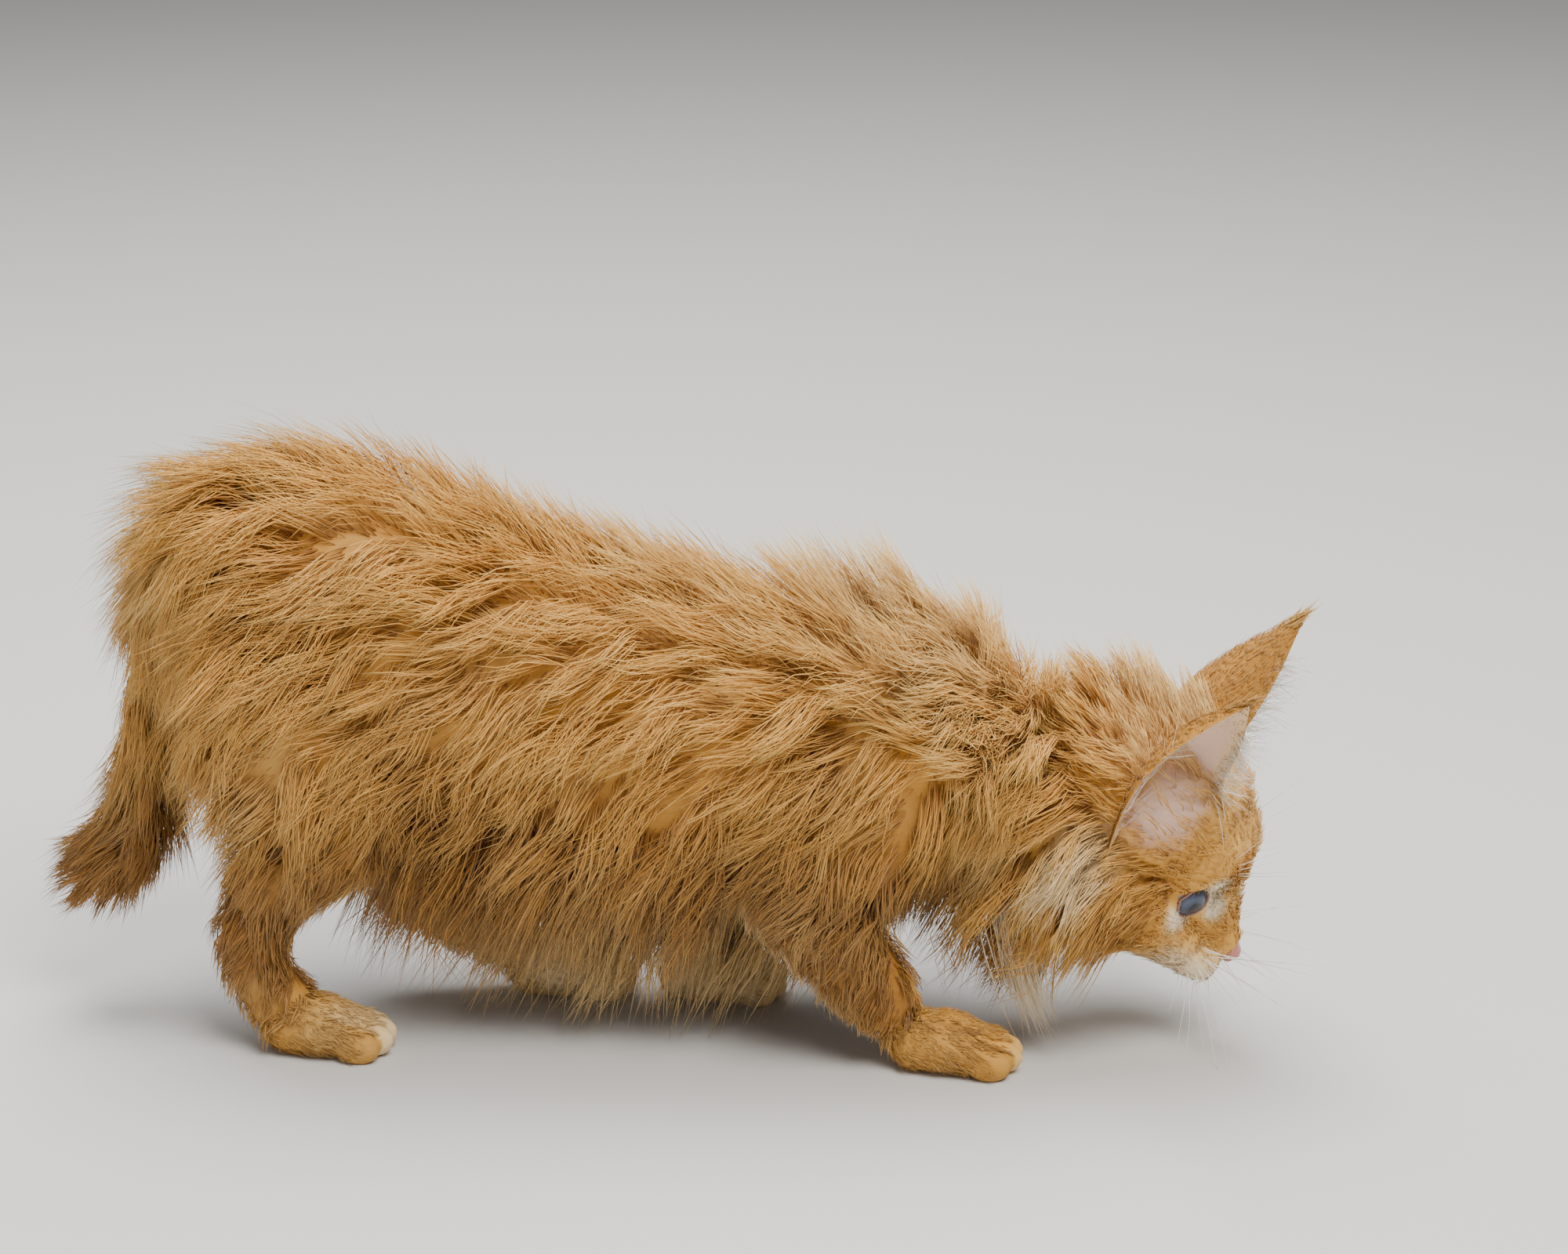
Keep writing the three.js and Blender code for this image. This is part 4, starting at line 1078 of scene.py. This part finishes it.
# Eyes, lids and nose
def eye_pieces():
    for sign, side in ((-1, "right"), (1, "left")):
        centre, forward, upward, outward = eye_frame(sign)
        points, faces = ball((0, 0, 0), (EYE["radius"],) * 3, rings=40, sides=56)
        gaze = unit(np.array(GAZE) * [1, sign, 1])
        off_axis = np.arccos(np.clip(unit(points) @ gaze, -1, 1))
        iris = np.clip(off_axis / math.radians(IRIS_SPREAD), 0, 1)
        bulge = 0.5 * (1 - ramp(off_axis, math.radians(20), math.radians(50)))
        points = unit(points) * (EYE["radius"] + bulge)[:, None]
        eyeball = add_mesh(f"eyeball_{side}", from_head(points + centre), faces, "eye", [EYEBALL])
        set_attributes(eyeball, ring=iris)
        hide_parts(f"eye_{side}")
        angle = turns(48)
        x = EYE["long"] * np.cos(angle)
        upper, lower = lid_height(x)
        y = np.where(np.sin(angle) > 0, upper, lower)
        depth = np.sqrt(np.maximum((EYE["radius"] + 0.35) ** 2 - x**2 - y**2, 1))
        line = centre + x[:, None] * forward + y[:, None] * upward + depth[:, None] * outward
        add_mesh(f"lid_{side}", *tube_ring(from_head(line), LID_RADIUS), "skin", [LID])


def tube_ring(line, radius, sides=8):
    """A closed ring of round section along a closed line."""
    ahead = unit(np.roll(line, -1, axis=0) - np.roll(line, 1, axis=0))
    out = unit(line - line.mean(axis=0))
    side = unit(np.cross(ahead, out))
    out = np.cross(side, ahead)
    turn = turns(sides)
    ring = out[:, None] * np.cos(turn)[None, :, None] + side[:, None] * np.sin(turn)[None, :, None]
    points = line[:, None] + radius * ring
    faces = grid_faces(len(line) + 1, sides) % (len(line) * sides)
    return points.reshape(-1, 3), faces


def nose_piece():
    form = Form(NOSE, in_head=True)
    points, faces = form.mesh(rings=16, sides=48, dome_rings=16)
    local = to_head(points)
    for sign in (-1, 1):
        place = np.array(NOSTRIL["place"]) * [1, sign, 1]
        pit = near(local, place, NOSTRIL["radius"] * 1.6)
        local[:, 0] -= NOSTRIL["depth"] * pit
    groove = (1 - ramp(np.abs(local[:, 1]), 0.1, 0.7)) * ramp(local[:, 0], 44, 46)
    local[:, 0] -= 0.5 * groove
    nose = add_mesh("nose_leather", from_head(local), faces, "nose_leather", [NOSE_LEATHER])
    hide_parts("nose")


eye_pieces()
nose_piece()


# Ears
def ear_surface(side, u, v):
    """Middle of the ear's wall, from its front edge (u = 0) to its low edge and from root to tip."""
    sign = 1 if side == "left" else -1
    front, back, low = (np.array(EAR[key], float) for key in ("front", "back", "low"))
    tip = np.array(EAR_TIPS[side], float)
    u, v = np.asarray(u)[:, None], np.asarray(v)[:, None]
    root = (1 - u) ** 2 * front + 2 * u * (1 - u) * back + u**2 * low
    middle = 0.25 * front + 0.5 * back + 0.25 * low
    points = root * (1 - v) + tip * v
    points = points + (root - middle) * EAR_FORM["flare"] * np.sin(math.pi * v)
    swell = np.sin(math.pi * np.clip(v, 0, 1))
    bow = np.array([-0.9, -0.4, 0]) * EAR_FORM["bow"] * np.sin(math.pi * u) * swell
    lip = np.array([-1, 0, 0]) * EAR_FORM["lip"] * u**2 * swell
    return (points + bow + lip) * [1, sign, 1]


def ear_normal(side, u, v):
    """Outward direction at the back of the ear."""
    step = 0.01
    top = np.clip(v, 0.01, 0.95)
    du = ear_surface(side, np.clip(u + step, 0, 1), top) - ear_surface(side, np.clip(u - step, 0, 1), top)
    dv = ear_surface(side, u, top + step) - ear_surface(side, u, top - step)
    sign = -1 if side == "left" else 1
    return unit(np.cross(du, dv)) * sign


def ear_hair(part, side, u, v, reach, heading, tint, width, pale=0.0, lean=1, rings=3, material=COAT):
    """Hairs rooted on the ear's back, or inside where lean is -1, straight but for a little bend."""
    count = len(u)
    outs = ear_normal(side, u, v) * lean
    roots = ear_surface(side, u, v) + outs * 0.5 * EAR_FORM["wall"]
    steps = np.linspace(0, 1, 5)[None, :, None]
    bend = rng.normal(0, 0.09, (count, 1, 3)) * steps**2
    paths = roots[:, None] + reach[:, None, None] * (heading[:, None] * steps + bend)
    paths = paths + outs[:, None] * (0.12 * reach)[:, None, None] * steps**0.8
    world = from_head(paths.reshape(-1, 3)).reshape(paths.shape)
    normals = np.repeat(turn_from_head(outs)[:, None], 5, axis=1)
    guides = (world[:, 0], world, normals, tint)
    settings = {"rings": rings, "width": width, "clump": 0.0, "depth": 0.6, "frizz": 0.03}
    shades = lambda roots, p, r, t: (np.full(count, pale), np.full(count, 0.75 * (1 - pale)), t)
    atlas = np.stack([u, v], axis=1)
    name = f"coat_ear_{part}_{side}"
    strands(name, world[:, 0], normals[:, 0], atlas, guides, settings, shades, material)


def toward_tip(side, u, v):
    step = 0.02
    ahead, behind = np.minimum(v + step, 1), np.maximum(v - step, 0)
    return unit(ear_surface(side, u, ahead) - ear_surface(side, u, behind))


def ear_shell(side):
    """The ear's thin wall, furred outside and bare within, with the small fold at its low edge."""
    across, upward = EAR_FORM["across"], EAR_FORM["upward"]
    v, u = np.meshgrid(np.linspace(-0.12, 0.985, upward), np.linspace(0, 1, across), indexing="ij")
    u, v = u.ravel(), v.ravel()
    middle, out = ear_surface(side, u, v), ear_normal(side, u, v)
    wall = EAR_FORM["wall"] + (EAR_FORM["tip_wall"] - EAR_FORM["wall"]) * np.clip(v, 0, 1)
    edge = np.sqrt(np.clip(1 - (2 * u - 1) ** 8, 0.02, 1))
    half = 0.5 * (wall * edge)[:, None]
    fold = 1.6 * np.exp(-(((u - 0.86) / 0.05) ** 2)) * (1 - ramp(v, 0.1, 0.45)) * ramp(v, -0.05, 0.1)
    inner = middle - out * (half + fold[:, None])
    outer = middle + out * half
    count = len(u)
    grid = np.arange(count).reshape(upward, across)
    loop = np.concatenate([grid[0, :], grid[1:, -1], grid[-1, -2::-1], grid[-2:0:-1, 0]])
    after = np.roll(loop, -1)
    wall_faces = np.stack([loop, after, after + count, loop + count], axis=1)
    faces_out = grid_faces(upward, across, closed=False)
    faces_in = faces_out[:, ::-1] + count
    points = from_head(np.vstack([outer, inner]))
    faces = np.vstack([faces_out, faces_in, wall_faces])
    ear = add_mesh(f"ear_shell_{side}", points, faces, "coat", [SKIN])
    rim = (1 - ramp(u, 0.02, 0.14)) + ramp(u, 0.88, 0.98) + ramp(v, 0.8, 0.95)
    bare = (0.55 + 0.3 * (1 - ramp(v, 0.3, 0.9))) * (1 - 0.8 * np.clip(rim, 0, 1))
    inside = np.repeat([0.0, 1.0], count)
    bare = np.concatenate([np.zeros(count), bare])
    set_attributes(ear, bare=bare, pale=0.75 * inside, rust=0.75 * (1 - inside), tip=0.5, tint=0.5)
    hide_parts(f"ear_{side}")


def ear_back(side):
    """Short fur over the back of the ear, lying to its tip."""
    count = EAR_HAIRS["back"]
    u, v = rng.uniform(0.02, 0.98, count), 1 - np.sqrt(rng.uniform(0.0, 1.0, count))
    v = np.clip(v * 1.05 - 0.05, -0.05, 0.97)
    heading = toward_tip(side, u, v)
    reach = rng.uniform(3, 5.5, count)
    tint = rng.uniform(0.3, 0.75, count)
    ear_hair("back", side, u, v, reach, heading, tint, width=0.36, rings=2)


def ear_front(side):
    """White tufts that spread from the ear's front edge, and a few from its low edge."""
    count = EAR_HAIRS["front"]
    u, v = rng.uniform(0.0, 0.1, count), rng.uniform(0.05, 0.72, count)
    low_side = rng.uniform(0, 1, count) < 0.25
    u = np.where(low_side, rng.uniform(0.9, 1.0, count), u)
    sign = 1 if side == "left" else -1
    inward = np.where(low_side[:, None], [[-0.1, -0.45 * sign, 0.5]], [[1.0, 0.3 * sign, -0.2]])
    heading = unit(0.7 * toward_tip(side, u, v) + inward + rng.normal(0, 0.28, (count, 3)))
    reach = rng.uniform(8, 20, count) * (1 - 0.45 * v)
    tint = np.full(count, 0.9)
    ear_hair("front", side, u, v, reach, heading, tint, width=0.26, pale=1.0, lean=-1, material=WHITE_HAIR)


def ear_tip(side):
    """The brush at the ear's tip."""
    count = EAR_HAIRS["tip"]
    u, v = rng.uniform(0.2, 0.8, count), rng.uniform(0.86, 0.98, count)
    heading = unit(toward_tip(side, u, v) + rng.normal(0, 0.1, (count, 3)))
    reach = rng.uniform(4, 9, count)
    tint = rng.uniform(0.3, 0.8, count)
    ear_hair("tip", side, u, v, reach, heading, tint, width=0.35, pale=0.2)


for side in EAR_TIPS:
    ear_shell(side)
    ear_back(side)
    ear_front(side)
    ear_tip(side)


# Whiskers
def whisker_lines(sign):
    """Root, direction, length, sag and radius of one side's whiskers, on the muzzle and over the eye."""
    lines = []
    for i in range(WHISKERS["muzzle"]):
        level, back = i % 5, i // 5
        root = np.array([38.5 - 2.6 * back, 9.2 * sign, -16.5 - 1.7 * level])
        rise = math.radians(HEAD_TURN["pitch"] + 16 - 24 * level - 7 * back)
        heading = unit(np.array([math.cos(rise), 0.5 * sign, math.sin(rise)]))
        lines.append((root, heading, rng.uniform(36, 50) - 5 * level, 4, WHISKERS["radius"]))
    for i in range(WHISKERS["brow"]):
        root = np.array([25.5 - i, (6.5 + 1.2 * i) * sign, 5.5])
        rise = math.radians(HEAD_TURN["pitch"] + 4 + 9 * i)
        heading = unit(np.array([math.cos(rise), 0.25 * sign, math.sin(rise)]))
        lines.append((root, heading, rng.uniform(24, 36), -3, WHISKERS["brow_radius"]))
    return lines


def whisker_piece():
    steps, sides = WHISKERS["steps"], WHISKERS["sides"]
    t = np.linspace(0, 1, steps)[:, None]
    turn = turns(sides)[None, :, None]
    points, faces = [], []
    for sign in (-1, 1):
        for root, heading, reach, sag, thick in whisker_lines(sign):
            bend = unit(rng.normal(0, 1, 3)) * rng.uniform(1, 4)
            spine = root + heading * reach * (t - 0.03) + bend * t**2 - np.array([0, 0, sag]) * t**2
            side = unit(np.cross(heading, [0, 0, 1]))
            up = np.cross(side, heading)
            radius = (thick * (1 - 0.8 * t))[:, :, None]
            ring = radius * (np.cos(turn) * side + np.sin(turn) * up)
            faces.append(grid_faces(steps, sides) + len(points) * steps * sides)
            points.append((spine[:, None] + ring).reshape(-1, 3))
    world = from_head(np.vstack(points))
    world[:, 2] = np.maximum(world[:, 2], 0.4)
    add_mesh("whiskers", world, np.vstack(faces), "whiskers", [WHISKER])


whisker_piece()


# Floor, light and camera, in metres
def stage_set():
    mesh = bpy.data.meshes.new("floor")
    half = FLOOR_HALF
    corners = [(-half, -half, 0), (half, -half, 0), (half, half, 0), (-half, half, 0)]
    mesh.from_pydata(corners, [], [(0, 1, 2, 3)])
    floor = bpy.data.objects.new("floor", mesh)
    mesh.materials.append(plain_material("floor", (0.64, 0.63, 0.61), 0.8, specular=0.2))
    bpy.context.scene.collection.objects.link(floor)


def area_light(name, place, aim, size, power, colour=(1, 1, 1)):
    data = bpy.data.lights.new(name, "AREA")
    data.size = size
    data.energy = power
    data.color = colour
    light = bpy.data.objects.new(name, data)
    light.location = place
    light.rotation_euler = (Vector(aim) - Vector(place)).to_track_quat("-Z", "Y").to_euler()
    bpy.context.scene.collection.objects.link(light)


def lights():
    aim = (0, 0, 0.08)
    area_light("key", (0.45, -0.75, 1.4), aim, 0.8, 31, (1, 0.97, 0.93))
    area_light("top", (-0.2, 0.35, 1.5), aim, 1.1, 38)
    area_light("fill", (-1.2, -1.0, 0.6), aim, 1.2, 3)
    world = bpy.data.worlds.new("studio")
    world.use_nodes = True
    world.node_tree.nodes["Background"].inputs[0].default_value = (0.85, 0.87, 0.9, 1)
    world.node_tree.nodes["Background"].inputs[1].default_value = 0.2
    bpy.context.scene.world = world


CAMERA = {"azimuth": 3.5, "elevation": 18, "distance": 1049, "aim": (20, 0, 122), "lens": 85, "sensor": 36}


def camera():
    data = bpy.data.cameras.new("camera")
    data.lens = CAMERA["lens"]
    data.sensor_width = CAMERA["sensor"]
    data.clip_start = 0.05
    data.clip_end = 20
    obj = bpy.data.objects.new("camera", data)
    a, e = math.radians(CAMERA["azimuth"]), math.radians(CAMERA["elevation"])
    back = Vector((math.sin(a) * math.cos(e), -math.cos(a) * math.cos(e), math.sin(e)))
    aim = Vector(row([CAMERA["aim"]])[0])
    obj.location = aim + back * CAMERA["distance"] * MM
    obj.rotation_euler = (-back).to_track_quat("-Z", "Y").to_euler()
    bpy.context.scene.collection.objects.link(obj)
    bpy.context.scene.camera = obj


stage_set()
lights()
camera()
